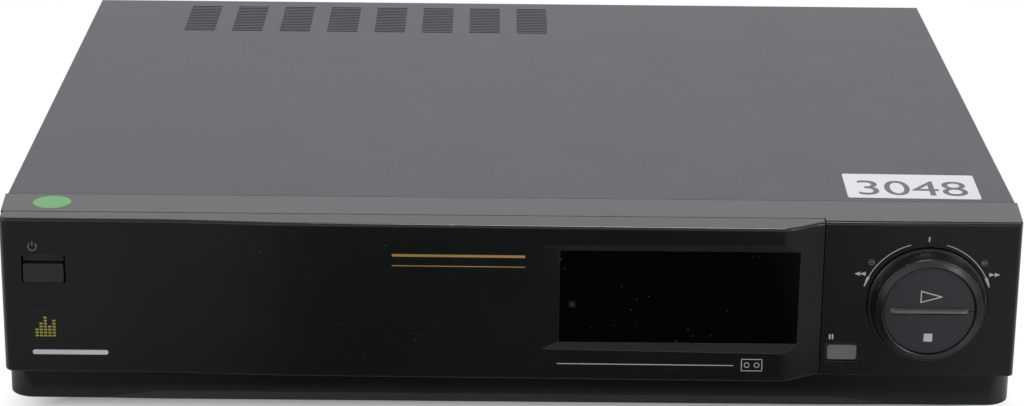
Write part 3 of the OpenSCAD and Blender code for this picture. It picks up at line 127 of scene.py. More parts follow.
class RecorderColours(bpy.types.PropertyGroup):
    """Colours of the finishes, in linear light."""

    cover: colour_property("Cover", "Paint of the steel cover", (0.047, 0.0445, 0.0585))
    front: colour_property("Front", "Satin plastic of the front mouldings", (0.0084, 0.0106, 0.0106))
    fascia: colour_property("Fascia", "Plastic behind the door", (0.018, 0.018, 0.019))
    window: colour_property("Window", "Smoked window", (0.0006, 0.0012, 0.0006))
    button: colour_property("Button", "Dark keys and small buttons", (0.031, 0.034, 0.039))
    power: colour_property("Power button", "Power button", (0.022, 0.026, 0.025))
    indicator: colour_property("Indicator", "Strip over the power button", (0.017, 0.019, 0.020))
    grey_button: colour_property("Grey button", "Pause button", (0.148, 0.156, 0.168))
    bar: colour_property("Bar", "Bar between the keys", (0.12, 0.12, 0.125))
    ring: colour_property("Ring", "Shuttle ring", (0.009, 0.010, 0.010))
    print_white: colour_property("White print", "Light printing ink", (0.52, 0.52, 0.50))
    print_grey: colour_property("Grey print", "Dim printing ink", (0.20, 0.20, 0.20))
    gold: colour_property("Gold", "Gold printing ink", (0.40, 0.24, 0.075))
    yellow: colour_property("Yellow", "Yellow of the bar emblem", (0.36, 0.34, 0.06))
    silver: colour_property("Silver", "Plated strip", (0.62, 0.63, 0.67))
    green: colour_property("Green", "Round sticker", (0.18, 0.41, 0.18))
    label: colour_property("Label", "Number label", (0.745, 0.74, 0.78))
    digits: colour_property("Digits", "Ink on the number label", (0.115, 0.115, 0.135))
    floor: colour_property("Floor", "Studio floor", (0.90, 0.90, 0.90))


def sizes():
    """Sizes as they stand in the scene."""
    return bpy.context.scene.recorder_sizes


def colours():
    """Colours as they stand in the scene."""
    return bpy.context.scene.recorder_colours


# Node helpers and shared effects

def connect(tree, node, links):
    """Gives each named socket of a node a value or another node's socket."""
    for name, value in links.items():
        if isinstance(value, bpy.types.NodeSocket):
            tree.links.new(value, node.inputs[name])
        else:
            node.inputs[name].default_value = value
    return node


def add(tree, kind, links=None, **settings):
    """A node with its settings and links."""
    made = tree.nodes.new(kind)
    for key, value in settings.items():
        setattr(made, key, value)
    return connect(tree, made, links or {})


def maths(tree, operation, a, b=0.0, clamp=False):
    """One step of arithmetic."""
    return add(tree, "ShaderNodeMath", {0: a, 1: b}, operation=operation, use_clamp=clamp).outputs[0]


def remap(tree, value, low, high, to_low=0.0, to_high=1.0):
    """value carried from low..high to to_low..to_high, clamped."""
    return add(tree, "ShaderNodeMapRange", {"Value": value, "From Min": low, "From Max": high,
                                            "To Min": to_low, "To Max": to_high}).outputs[0]


def mixed(tree, factor, a, b):
    """Colour a at factor 0, colour b at factor 1."""
    a, b = (colour if isinstance(colour, bpy.types.NodeSocket) else (*colour, 1.0) for colour in (a, b))
    return add(tree, "ShaderNodeMix", {0: factor, 6: a, 7: b}, data_type="RGBA").outputs[2]


def coordinate(tree, vector, axis):
    """One coordinate of a vector: axis 0, 1 or 2 for x, y or z."""
    return add(tree, "ShaderNodeSeparateXYZ", {0: vector}).outputs[axis]


def noise(tree, vector, scale, detail, **more):
    """Value of a noise texture."""
    return add(tree, "ShaderNodeTexNoise", {"Vector": vector, "Scale": scale, "Detail": detail, **more}).outputs[0]


def grain_effect(tree, ins):
    """Moulded or painted grain: fine bumps, with a slow cloud of light and dark."""
    return {"Height": noise(tree, ins["Vector"], ins["Fineness"], 2.0, Roughness=0.6),
            "Cloud": noise(tree, ins["Vector"], 0.02, 3.0)}


def dust_effect(tree, ins):
    """Dust: rare specks of two sizes, and a thin film in patches, more on faces that look up."""
    specks = None
    for spacing, size in ((0.16, 0.055), (0.42, 0.075)):
        cells = add(tree, "ShaderNodeTexVoronoi", {"Vector": ins["Vector"], "Scale": spacing, "Randomness": 1.0})
        near = remap(tree, cells.outputs["Distance"], size, size * 0.4)
        lot = add(tree, "ShaderNodeSeparateColor", {"Color": cells.outputs["Color"]}).outputs[0]
        one = maths(tree, "MULTIPLY", near, maths(tree, "LESS_THAN", lot, ins["Specks"]))
        specks = one if specks is None else maths(tree, "MAXIMUM", specks, one)
    film = maths(tree, "MULTIPLY", remap(tree, noise(tree, ins["Vector"], 0.035, 5.0), 0.42, 0.75), ins["Film"])
    up = coordinate(tree, add(tree, "ShaderNodeNewGeometry").outputs["Normal"], 2)
    film = maths(tree, "MULTIPLY", film, remap(tree, up, 0.3, 1.0, 0.12, 1.0))
    return {"Mask": maths(tree, "MAXIMUM", specks, film, clamp=True)}


def scuffs_effect(tree, ins):
    """Scuffs: short hair lines in two directions, kept only in a few patches."""
    lines = None
    for angle in (0.5, -0.9):
        drawn = add(tree, "ShaderNodeMapping", {"Vector": ins["Vector"], "Rotation": (angle, angle, angle),
                                                "Scale": (0.08, 3.0, 3.0)}).outputs[0]
        one = remap(tree, noise(tree, drawn, 1.0, 1.0), 0.70, 0.76)
        lines = one if lines is None else maths(tree, "MAXIMUM", lines, one)
    kept = remap(tree, noise(tree, ins["Vector"], 0.03, 1.0), 0.52, 0.68)
    return {"Mask": maths(tree, "MULTIPLY", maths(tree, "MULTIPLY", lines, kept), ins["Amount"], clamp=True)}


def edges_effect(tree, ins):
    """Edges: a rounded normal, and a mask that is 1 where the rounded normal leaves the flat one."""
    soft = add(tree, "ShaderNodeBevel", {"Radius": ins["Radius"]}, samples=4).outputs[0]
    flat = add(tree, "ShaderNodeNewGeometry").outputs["Normal"]
    same = add(tree, "ShaderNodeVectorMath", {0: soft, 1: flat}, operation="DOT_PRODUCT").outputs[1]
    # Patchy strength along edges, which some finishes use as chipped wear and others as a painted highlight.
    patchiness = remap(tree, noise(tree, ins["Vector"], 0.6, 3.0), 0.45, 0.65, 0.35, 1.0)
    return {"Mask": maths(tree, "MULTIPLY", remap(tree, same, 0.985, 0.86), patchiness), "Normal": soft}


# Each shared effect: the function that builds it, and the defaults of its inputs besides the Vector
EFFECTS = {
    "Grain": (grain_effect, {"Fineness": 3.0}),
    "Dust": (dust_effect, {"Specks": 0.3, "Film": 0.1}),
    "Scuffs": (scuffs_effect, {"Amount": 0.2}),
    "Edges": (edges_effect, {"Radius": 0.0003}),
}


def effect(name):
    """The node group of a shared effect, built when it's first asked for. Its Vector is in millimetres."""
    if name in bpy.data.node_groups:
        return bpy.data.node_groups[name]
    build, inputs = EFFECTS[name]
    tree = bpy.data.node_groups.new(name, "ShaderNodeTree")
    tree.interface.new_socket("Vector", in_out="INPUT", socket_type="NodeSocketVector")
    for label, default in inputs.items():
        tree.interface.new_socket(label, in_out="INPUT", socket_type="NodeSocketFloat").default_value = default
    outputs = build(tree, tree.nodes.new("NodeGroupInput").outputs)
    for label in outputs:
        kind = "NodeSocketVector" if label == "Normal" else "NodeSocketFloat"
        tree.interface.new_socket(label, in_out="OUTPUT", socket_type=kind)
    connect(tree, tree.nodes.new("NodeGroupOutput"), outputs)
    return tree


def use(tree, name, links):
    """Outputs of a shared effect, placed in a material with its own values."""
    return add(tree, "ShaderNodeGroup", links, node_tree=effect(name)).outputs


def new_material(name):
    """A material with nodes, and its node tree."""
    made = bpy.data.materials.new(name)
    made.use_nodes = True
    return made, made.node_tree


# Where most values of a noise texture lie
NOISE_LOW, NOISE_HIGH = 0.3, 0.7


def surface_finish(name, colour, roughness, metallic=0.0, specular=0.5, fineness=3.0, grain=0.02, cloud=0.06,
                   specks=0.0, film=0.0, scuffs=0.0, wear=0.0, worn=(0.10, 0.10, 0.105), edge=0.25,
                   dust=(0.32, 0.32, 0.31), settled=None, parts_above=None):
    """A finish: colour clouded slowly, fine grain in the bump, dust and scuffs on top, edges rounded and lightened,
    as wear on some finishes and as a painted highlight on others.

    fineness is grains per millimetre; grain, the bump's depth, and edge, the rounding, are in millimetres.
    cloud, specks, film, scuffs and the lightening of edges are shares, from 0 for none to 1.
    settled is the share and colour of an even film on faces that look up. parts_above is the height in metres
    where a board's components begin, and their colour.
    """
    made = bpy.data.materials.get(name)
    if made:
        return made
    made, tree = new_material(name)
    made.diffuse_color = (*colour, 1.0)
    place = add(tree, "ShaderNodeTexCoord").outputs["Object"]
    mm = add(tree, "ShaderNodeVectorMath", {0: place, 1: (1 / MM,) * 3}, operation="MULTIPLY").outputs[0]
    grains = use(tree, "Grain", {"Vector": mm, "Fineness": fineness})
    shade = remap(tree, grains["Cloud"], NOISE_LOW, NOISE_HIGH, 1.0 - cloud, 1.0 + cloud)
    look = add(tree, "ShaderNodeVectorMath", {0: colour, 1: shade}, operation="MULTIPLY").outputs[0]
    if parts_above:
        above = maths(tree, "GREATER_THAN", coordinate(tree, place, 2), parts_above[0])
        look = mixed(tree, above, look, parts_above[1])
    if settled:
        up = coordinate(tree, add(tree, "ShaderNodeTexCoord").outputs["Normal"], 2)
        look = mixed(tree, remap(tree, up, 0.8, 1.0, 0.0, settled[0]), look, settled[1])
    rough = remap(tree, grains["Height"], NOISE_LOW, NOISE_HIGH, roughness * 0.9, min(1.0, roughness * 1.1))
    bump = {"Strength": 1.0, "Distance": grain * MM, "Height": grains["Height"]}
    if edge:
        rounded = use(tree, "Edges", {"Vector": mm, "Radius": edge * MM})
        bump["Normal"] = rounded["Normal"]
        # Lightened edges: wear on some finishes, a painted highlight along the edges on others.
        if wear:
            look = mixed(tree, maths(tree, "MULTIPLY", rounded["Mask"], wear), look, worn)
    if specks or film:
        mask = use(tree, "Dust", {"Vector": mm, "Specks": specks, "Film": film})["Mask"]
        look = mixed(tree, mask, look, dust)
        rough = maths(tree, "MAXIMUM", rough, maths(tree, "MULTIPLY", mask, 0.8))
    if scuffs:
        mask = use(tree, "Scuffs", {"Vector": mm, "Amount": scuffs})["Mask"]
        look = mixed(tree, mask, look, dust)
    connect(tree, tree.nodes["Principled BSDF"], {
        "Base Color": look, "Roughness": rough, "Normal": add(tree, "ShaderNodeBump", bump).outputs[0],
        "Metallic": metallic, "Specular IOR Level": specular})
    return made


def dress(material, *nodes):
    """Gives CAD nodes their finish."""
    for name in nodes:
        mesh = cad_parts[name].data
        mesh.materials.clear()
        mesh.materials.append(material)


def finish(nodes, name, colour, roughness, **more):
    """Gives CAD nodes, their names parted by spaces, a finish of their own."""
    dress(surface_finish(name, colour, roughness, **more), *nodes.split())


# Surfaces

def new_mesh(name, vertices, faces, material):
    """A mesh from arrays of vertices and faces."""
    mesh = bpy.data.meshes.new(name)
    mesh.from_pydata(vertices.reshape(-1, 3).tolist(), [], faces.tolist())
    mesh.materials.append(material)
    return mesh


def new_object(name, data):
    """An object at the origin."""
    made = bpy.data.objects.new(name, data)
    bpy.context.scene.collection.objects.link(made)
    return made


def mesh_piece(name, mesh, body):
    """A piece of the recorder, which rides on a body."""
    mesh.update()
    piece = new_object(name, mesh)
    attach(piece, body)
    return piece


def grid_faces(rings, around, closed=False):
    """Quads of a surface that closes round, from ring to ring; closed joins the last ring to the first."""
    i, j = np.meshgrid(np.arange(rings if closed else rings - 1), np.arange(around), indexing="ij")
    k, n = (i + 1) % rings, (j + 1) % around
    return np.stack([i * around + j, i * around + n, k * around + n, k * around + j], axis=-1).reshape(-1, 4)


def plate_faces(rings, closed):
    """Quads of a thin plate with four corners in each ring, with flat ends unless it closes on itself."""
    quads = grid_faces(rings, 4, closed)
    if closed:
        return quads
    return np.concatenate([quads, [[3, 2, 1, 0]], (rings - 1) * 4 + np.array([[0, 1, 2, 3]])])


def strip(path, width, closed=False):
    """Corners of a flat strip: two edges half a width to each side of a path in the plane. Shape (n, 2, 2)."""
    path = np.asarray(path, float)
    if closed:
        along = np.roll(path, -1, axis=0) - np.roll(path, 1, axis=0)
    else:
        along = np.gradient(path, axis=0)
    along /= np.linalg.norm(along, axis=1, keepdims=True)
    side = np.stack([-along[:, 1], along[:, 0]], axis=1)
    half = (np.broadcast_to(np.asarray(width, float), len(path)) / 2)[:, None]
    return np.stack([path + side * half, path - side * half], axis=1), closed


def bar(x0, z0, x1, z1, width):
    """Straight strip between two points."""
    t = np.linspace(0.0, 1.0, 5)[:, None]
    return strip((1 - t) * np.array([x0, z0]) + t * np.array([x1, z1]), width)


def ring_strip(x, z, radius, width, count=28):
    """Circle drawn with a line of that width."""
    a = np.linspace(0.0, 2 * np.pi, count, endpoint=False)
    return strip(np.stack([x + radius * np.cos(a), z + radius * np.sin(a)], axis=1), width, closed=True)


def disc_strip(x, z, radius, count=25):
    """Filled circle, as a strip whose width follows the circle's chord."""
    a = np.linspace(0.02, np.pi - 0.02, count)
    return strip(np.stack([x - radius * np.cos(a), np.full(count, z)], axis=1), 2 * radius * np.sin(a))


def triangle_strip(x, z, length, height, turn=0.0):
    """Filled triangle that points along the direction turn, as a strip that narrows to a point."""
    t = np.linspace(0.0, 1.0, 6)
    line = np.stack([(t - 0.5) * length, np.zeros_like(t)], axis=1)
    return strip(turned(line, turn) + (x, z), height * np.maximum(1.0 - t, 0.02))


def outline_strips(points, width):
    """Closed outline as a straight strip for each side, lengthened by half a width at both ends to close corners."""
    points = np.asarray(points, float)
    made = []
    for a, b in zip(points, np.roll(points, -1, axis=0)):
        grow = (b - a) / np.linalg.norm(b - a) * width / 2
        made.append(bar(*(a - grow), *(b + grow), width))
    return made


def box_corners(x, z, width, height):
    """Corners of an upright rectangle about its middle."""
    return [(x - width / 2, z - height / 2), (x + width / 2, z - height / 2),
            (x + width / 2, z + height / 2), (x - width / 2, z + height / 2)]


def print_marks(name, strips, lie, material, body="chassis", thickness=None):
    """One piece from many flat strips. lie(x, z, height) puts a point of the plane on the carrying surface.

    Each strip becomes a thin closed plate: its two edges at the surface and the same two edges above it.
    """
    thickness = thickness or sizes().ink
    vertices, faces, count = [], [], 0
    for edges, closed in strips:
        low = lie(edges[..., 0], edges[..., 1], 0.0)
        high = lie(edges[..., 0], edges[..., 1], thickness)
        corners = np.stack([low[:, 0], high[:, 0], high[:, 1], low[:, 1]], axis=1)
        vertices.append(corners.reshape(-1, 3))
        faces.append(plate_faces(len(corners), closed) + count)
        count += len(corners) * 4
    mesh_piece(name, new_mesh(name, np.concatenate(vertices), np.concatenate(faces), material), body)


def front_points(x, z, y, height):
    """Points on a surface whose front is at y metres: x and z in millimetres, z up from the top of the front.

    height lifts a point off the surface; a hair of it is sunk so that a mark grips what carries it.
    """
    return np.stack([x * MM, y - (height - SINK) * MM, z * MM + TOP_Z], axis=-1)


def front_plane(y):
    """Plane that faces out of the front at y metres."""
    return lambda x, z, height: front_points(x, z, np.full_like(x, y), height)


def key_dome(node):
    """Shallow dome of a key: its height times the squared distance from the dial's middle over the squared radius."""
    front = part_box(node)[0].y

    def lie(x, z, height):
        reach = np.hypot(x * MM - DIAL.x, z * MM + TOP_Z - DIAL.z) / KEY_RADIUS
        return front_points(x, z, front + KEY_DOME * reach ** 2, height)
    return lie


def door_profile():
    """The door's front, measured with rays along one level line below the window: places and depths in metres."""
    tree = BVHTree.FromObject(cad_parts["front_door"], bpy.context.evaluated_depsgraph_get())
    low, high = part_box("front_door")
    z = low.z + (high.z - low.z) * PROFILE_LEVEL
    xs = np.linspace(low.x + 2 * MM, high.x - 2 * MM, PROFILE_RAYS)
    hits = [tree.ray_cast(Vector((x, low.y - 0.01, z)), Vector((0, 1, 0)))[0] for x in xs]
    return np.array([(x, hit.y) for x, hit in zip(xs, hits) if hit is not None])


def door_plane():
    """The door's bowed front, as a plane bent along the measured profile."""
    places, depths = door_profile().T
    return lambda x, z, height: front_points(x, z, np.interp(x * MM, places, depths), height)


# Finishes of the frame

BROWN_LAMINATE = (0.22, 0.13, 0.05)
COMPONENT_COLOUR = (0.022, 0.022, 0.024)


def plastic_front(name="Front plastic", settled=None):
    """Satin plastic of the front, with a few specks, and edges lightened partly by wear and partly as a painted
    highlight.
    """
    # Its pale edge colour is partly wear and partly a painted highlight along the door's and bezel's edges.
    return surface_finish(name, colours().front, 0.21, specular=0.44, fineness=2.4, grain=0.004,
                          cloud=0.10, specks=0.045, film=0.02, scuffs=0.05, wear=0.8, worn=(0.15, 0.155, 0.17),
                          edge=0.35, dust=(0.30, 0.29, 0.33), settled=settled)


def zinc():
    """Zinc-plated sheet steel, clouded and dull."""
    return surface_finish("Zinc steel", (0.60, 0.61, 0.60), 0.34, metallic=1.0, fineness=1.2, grain=0.006,
                          cloud=0.16, edge=0.15)


def bright_steel():
    """Ground and polished steel."""
    return surface_finish("Bright steel", (0.72, 0.72, 0.73), 0.16, metallic=1.0, fineness=4.0, grain=0.002,
                          cloud=0.04, edge=0.1)


def board_finish(name, colour, fineness, node=None):
    """Printed board: lacquered laminate, with dark components above the face of the given node's board."""
    parts = (board_face(node) + 0.05 * MM, COMPONENT_COLOUR) if node else None
    return surface_finish(name, colour, 0.32, fineness=fineness, grain=0.01, cloud=0.2, edge=0.0,
                          parts_above=parts)


def board_face(node):
    """Height of a board's upper face: the height where the node's upward faces have the most area."""
    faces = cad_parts[node].data.polygons
    count = len(faces)
    area, normal, centre = np.empty(count), np.empty(count * 3), np.empty(count * 3)
    faces.foreach_get("area", area)
    faces.foreach_get("normal", normal)
    faces.foreach_get("center", centre)
    upward = normal[2::3] > 0.99
    heights, found = np.unique(np.round(centre[2::3][upward], 5), return_inverse=True)
    return float(heights[np.argmax(np.bincount(found, weights=area[upward]))])


class RECORDER_OT_casing(bpy.types.Operator):
    """Paint of the cover, grain of the mouldings, zinc of the tray and rubber of the feet"""

    bl_idname = "recorder.casing"
    bl_label = "Casing finishes"

    def execute(self, context):
        finish("top_cover", "Cover paint", colours().cover, 0.42, specular=0.45, fineness=1.6, grain=0.01,
               cloud=0.05, specks=0.03, film=0.02, scuffs=0.04, wear=0.2, edge=0.5, worn=(0.26, 0.26, 0.27))
        dress(plastic_front("Bezel plastic", (0.05, (0.26, 0.22, 0.34))), "front_bezel")
        finish("inner_fascia display_frame cassette_flap", "Fascia plastic", colours().fascia, 0.5, specular=0.4,
               fineness=2.0, specks=0.05, film=0.05, edge=0.25)
        dress(zinc(), "bottom_chassis")
        finish("rear_panel", "Back paint", (0.045, 0.045, 0.047), 0.45, specular=0.4, fineness=1.4, film=0.06,
               specks=0.1, edge=0.2)
        finish("feet", "Foot rubber", (0.018, 0.018, 0.018), 0.75, specular=0.3, fineness=1.5, grain=0.03, film=0.1,
               specks=0.1, edge=0.5)
        finish("cover_screws rear_screws", "Black screws", (0.03, 0.03, 0.032), 0.35, metallic=0.6, grain=0.01,
               wear=0.6, worn=(0.4, 0.4, 0.4), edge=0.2)
        return {"FINISHED"}


class RECORDER_OT_door(bpy.types.Operator):
    """Gloss of the drop-down door, its smoked window, hinge pins and catch"""

    bl_idname = "recorder.door"
    bl_label = "Door finishes"

    def execute(self, context):
        dress(plastic_front(), "front_door")
        finish("door_window", "Smoked window", colours().window, 0.07, fineness=1.0, grain=0.0, cloud=0.3,
               specks=0.30, edge=0.2)
        dress(bright_steel(), "hinge_pins", "door_catch")
        return {"FINISHED"}


class RECORDER_OT_controls(bpy.types.Operator):
    """Buttons, keys, shuttle ring and the boards and encoder behind them"""

    bl_idname = "recorder.controls"
    bl_label = "Control finishes"

    def execute(self, context):
        button = {"specular": 0.45, "grain": 0.006, "specks": 0.05, "film": 0.02, "wear": 0.3, "edge": 0.35}
        finish("play_key stop_key eject_button record_button channel_down_button channel_up_button",
               "Button plastic", colours().button, 0.36, **button)
        finish("power_button", "Power button plastic", colours().power, 0.36, **button)
        finish("power_indicator", "Indicator lens", colours().indicator, 0.2, fineness=2.0, grain=0.002, edge=0.2)
        # The bar's edges, lightened in full to pale grey, are a painted highlight along its ridge, not wear.
        finish("dial_hub", "Bar plastic", colours().bar, 0.3, grain=0.004, wear=1.0, worn=(0.55, 0.55, 0.55),
               edge=0.35)
        finish("pause_button", "Grey button", colours().grey_button, 0.38, specular=0.45, grain=0.006, wear=0.2,
               worn=(0.2, 0.2, 0.2), edge=0.4)
        finish("shuttle_ring", "Ring plastic", colours().ring, 0.27, fineness=0.9, cloud=0.5, specks=0.25,
               scuffs=0.25, wear=0.7, worn=(0.095, 0.102, 0.106), edge=0.4, dust=(0.28, 0.31, 0.33))
        finish("encoder_gear supply_reel_table takeup_reel_table loading_worm", "Nylon", (0.72, 0.71, 0.66), 0.45,
               specular=0.4, fineness=1.5, grain=0.01, edge=0.15)
        dress(board_finish("Brown laminate", BROWN_LAMINATE, 1.1), "control_board", "button_board")
        finish("encoder capstan_motor scart_sockets audio_sockets mains_inlet", "Component black",
               (0.02, 0.02, 0.021), 0.5, specular=0.4, fineness=2.0, edge=0.2)
        finish("display_tube", "Display glass", (0.010, 0.018, 0.017), 0.06, fineness=0.4, grain=0.0, cloud=0.3,
               film=0.05, edge=0.2)
        return {"FINISHED"}


class RECORDER_OT_mechanism(bpy.types.Operator):
    """Sheet steel, drum, rollers and heads of the tape mechanism"""

    bl_idname = "recorder.mechanism"
    bl_label = "Mechanism finishes"

    def execute(self, context):
        dress(zinc(), "cassette_carriage", "carriage_sides", "left_slider", "right_slider", "left_lift_frame",
              "right_lift_frame", "mechanism_deck", "pinch_arm")
        finish("lower_drum upper_drum", "Turned aluminium", (0.78, 0.79, 0.80), 0.2, metallic=1.0, fineness=0.8,
               grain=0.002, cloud=0.05, edge=0.15)
        dress(bright_steel(), "capstan_flywheel", "supply_guide", "takeup_guide", "fixed_guides", "loading_motor")
        finish("capstan_bearing", "Turned brass", (0.60, 0.42, 0.17), 0.28, metallic=1.0, fineness=2.0, grain=0.004,
               edge=0.15)
        finish("pinch_roller", "Roller rubber", (0.022, 0.022, 0.023), 0.6, specular=0.3, fineness=4.0, grain=0.01,
               edge=0.2)
        finish("erase_head audio_head", "Head metal", (0.5, 0.5, 0.5), 0.3, metallic=1.0, fineness=2.0, grain=0.004,
               edge=0.15)
        return {"FINISHED"}


class RECORDER_OT_electronics(bpy.types.Operator):
    """Main board, transformer and the tin can of the aerial module"""

    bl_idname = "recorder.electronics"
    bl_label = "Electronics finishes"

    def execute(self, context):
        dress(board_finish("Green laminate", (0.02, 0.11, 0.045), 0.7, "main_board"), "main_board")
        dress(board_finish("Power board", BROWN_LAMINATE, 1.1, "power_board"), "power_board")
        finish("transformer", "Varnished iron", (0.11, 0.085, 0.06), 0.4, metallic=0.3, fineness=2.5, grain=0.03,
               edge=0.2)
        finish("aerial_module", "Tin plate", (0.62, 0.63, 0.64), 0.3, metallic=1.0, fineness=0.6, grain=0.01,
               cloud=0.15, edge=0.15)
        return {"FINISHED"}


# Printed marks

def ink(name, colour, roughness=0.45):
    """Printing ink: flat colour, a little uneven, with the finest of texture."""
    return surface_finish(name, colour, roughness, specular=0.35, fineness=6.0, grain=0.002, cloud=0.12, edge=0.0)


def white_ink():
    """Light ink of the clear marks."""
    return ink("White ink", colours().print_white)


def grey_ink():
    """Dim ink of the small marks."""
    return ink("Grey ink", colours().print_grey)


def dial_middle():
    """Middle of the dial on the plane of the front: x and z in millimetres."""
    return DIAL.x / MM, (DIAL.z - TOP_Z) / MM


def dial_arc(x, z, side):
    """Arc beside the dial, its angle counted from straight up: a thin line that ends in a short wedge.

    The wedge rises to its full width within a fiftieth of the arc and narrows evenly to the end.
    """
    s = sizes()
    t = np.linspace(0.0, 1.0, 60)
    a = np.radians(np.linspace(16.0, 73.5, 60)) * side
    path = np.stack([x + s.arc_radius * np.sin(a), z + s.arc_radius * np.cos(a)], axis=1)
    rise = np.clip((t - 0.83) / 0.02, 0.0, 1.0)
    fall = np.clip((1.0 - t) / 0.16, 0.0, 1.0)
    return strip(path, s.arc_line + (s.arc_end - s.arc_line) * rise * (0.15 + 0.85 * fall))


def dial_symbols():
    """Tick, arcs and winding triangles round the dial, with a dim small reel symbol over each pair of triangles."""
    s = sizes()
    x, z = dial_middle()
    x -= MARK_SHIFT
    tick_foot = z + 27.8
    triangles_out, triangles_up, triangle_width = 27.1, 13.4, 1.9
    reels_out, reels_up, reel_radius, reel_line, arrow = 23.7, 18.6, 1.15, 0.22, 0.9
    marks = [bar(x, tick_foot, x, tick_foot + s.tick_height, s.tick_width), dial_arc(x, z, -1), dial_arc(x, z, 1)]
    reels = []
    for side in (-1, 1):
        turn = 0.0 if side > 0 else math.pi
        for step in (0.0, 1.0):
            marks.append(triangle_strip(x + side * (triangles_out + step * s.triangle), z + triangles_up, s.triangle,
                                        triangle_width, turn))
        reel_x, reel_z = x + side * reels_out, z + reels_up
        reels.append(ring_strip(reel_x, reel_z, reel_radius, reel_line))
        for shift in (-0.5, 0.5):
            reels.append(triangle_strip(reel_x + shift, reel_z, arrow, arrow, turn))
    print_marks("dial_symbols", marks, front_plane(FACE_Y), white_ink())
    print_marks("reel_symbols", reels, front_plane(FACE_Y), grey_ink())


def pause_symbol():
    """Two upright bars over the pause button."""
    low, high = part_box("pause_button")
    apart, half, width = 1.2, 1.15, 0.62
    x, z = low.x / MM + 2.2, (high.z - TOP_Z) / MM + 2.3
    marks = [bar(x + shift, z - half, x + shift, z + half, width) for shift in (0.0, apart)]
    print_marks("pause_symbol", marks, front_plane(FACE_Y), white_ink())


def key_symbols():
    """Open triangle on the upper key and filled square on the lower one."""
    s = sizes()
    x, z = dial_middle()
    play_z, stop_z, line = z + 6.5, z - 11.8, 0.44
    start, rise, half = x + 0.5 - s.play_length / 2, 0.28 * s.play_length, s.stop_side / 2
    play = [(start, play_z + rise), (start + s.play_length, play_z), (start, play_z - rise)]
    print_marks("play_symbol", outline_strips(play, line), key_dome("play_key"), white_ink(), "play_key")
    print_marks("stop_symbol", [bar(x - half, stop_z, x + half, stop_z, s.stop_side)], key_dome("stop_key"),
                white_ink(), "stop_key")


class RECORDER_OT_control_marks(bpy.types.Operator):
    """Symbols printed round the dial, on its keys and over the pause button"""

    bl_idname = "recorder.control_marks"
    bl_label = "Control marks"

    def execute(self, context):
        dial_symbols()
        pause_symbol()
        key_symbols()
        return {"FINISHED"}


def door_marks(name, strips, lie, material):
    """A mark on the front of the door. Places on it are millimetres: x from the middle, z from the front's top."""
    print_marks(name, strips, lie, material, "door")


def power_symbol(lie):
    """Open ring with a bar in its gap, over the power button."""
    x, z, radius, line, bar_foot, bar_head = -199.6, -12.3, 1.7, 0.36, 0.4, 2.2
    a = np.radians(np.linspace(35.0, 325.0, 40)) + math.pi / 2
    path = np.stack([x + radius * np.cos(a), z + radius * np.sin(a)], axis=1)
    door_marks("power_symbol", [strip(path, line), bar(x, z + bar_foot, x, z + bar_head, line)], lie, grey_ink())


def gold_lines(lie):
    """A broad and a fine gold line near the top of the door."""
    start, broad, fine = -49.9, (-13.6, 1.1), (-18.2, 0.4)
    marks = [bar(start, z, start + sizes().gold_length, z, width) for z, width in (broad, fine)]
    door_marks("gold_lines", marks, lie, ink("Gold ink", colours().gold, 0.35))


def bar_emblem(lie):
    """Thin square outline around a level meter: five columns of short yellow dashes of different heights."""
    side = sizes().emblem_side
    left, foot, line = -201.8, -53.9, 0.14
    column_start, column_pitch, row_start, row_pitch = 2.1, 1.8, 1.9, 1.35
    dash_length, dash_width = 1.3, 0.75
    frame_corners = box_corners(left + side / 2, foot + side / 2, side, side)
    door_marks("emblem_frame", outline_strips(frame_corners, line), lie, ink("Dark ink", (0.028, 0.028, 0.026)))
    marks = []
    for column, height in enumerate((3, 5, 7, 4, 6)):
        x = left + column_start + column_pitch * column
        for row in range(height):
            z = foot + row_start + row_pitch * row
            marks.append(bar(x, z, x + dash_length, z, dash_width))
    door_marks("emblem_bars", marks, lie, ink("Yellow ink", colours().yellow))


def plated_strip(lie):
    """Slim silver strip with round ends, standing a little proud of the door.

    Its width near an end is twice the root of the radius squared less the squared distance to the end's middle.
    """
    left, right, z, radius, thickness = -201.2, -169.4, -59.3, 1.0, 0.35
    t = (1 - np.cos(np.linspace(0.0, np.pi, 41))) / 2
    x = left + (right - left) * t
    inward = np.clip(radius - np.minimum(x - left, right - x), 0, None)
    widths = 2 * np.sqrt(np.clip(radius ** 2 - inward ** 2, 0.0004, None))
    plate = surface_finish("Plated strip", colours().silver, 0.3, grain=0.002, edge=0.0)
    print_marks("plated_strip", [strip(np.stack([x, np.full_like(x, z)], axis=1), widths)], lie, plate, "door",
                thickness)


def window_marks(lie):
    """Fine line with a plain cassette symbol under the window, and a small square symbol behind it."""
    x, z, width, height, line = 101.3, -60.9, 8.6, 5.2, 0.3
    reel_shift, reel_radius = 2.1, 1.05
    marks = outline_strips(box_corners(x, z, width, height), line)
    marks += [ring_strip(x + shift, z, reel_radius, line) for shift in (-reel_shift, reel_shift)]
    line_start, line_end, line_z, line_width = 19.4, 93.6, -61.2, 0.34
    marks.append(bar(line_start, line_z, line_end, line_z, line_width))
    door_marks("cassette_symbol", marks, lie, white_ink())
    x, z, side, line, half = 25.4, -35.2, 2.4, 0.16, 0.6
    marks = outline_strips(box_corners(x, z, side, side), line) + [bar(x - half, z, x + half, z, 0.9)]
    print_marks("window_symbol", marks, front_plane(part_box("door_window")[0].y),
                ink("Faint ink", (0.045, 0.048, 0.046)), "door")


class RECORDER_OT_door_marks(bpy.types.Operator):
    """Symbols, gold lines, bar emblem and plated strip on the door"""

    bl_idname = "recorder.door_marks"
    bl_label = "Door marks"

    def execute(self, context):
        lie = door_plane()
        for step in (power_symbol, gold_lines, bar_emblem, plated_strip, window_marks):
            step(lie)
        return {"FINISHED"}


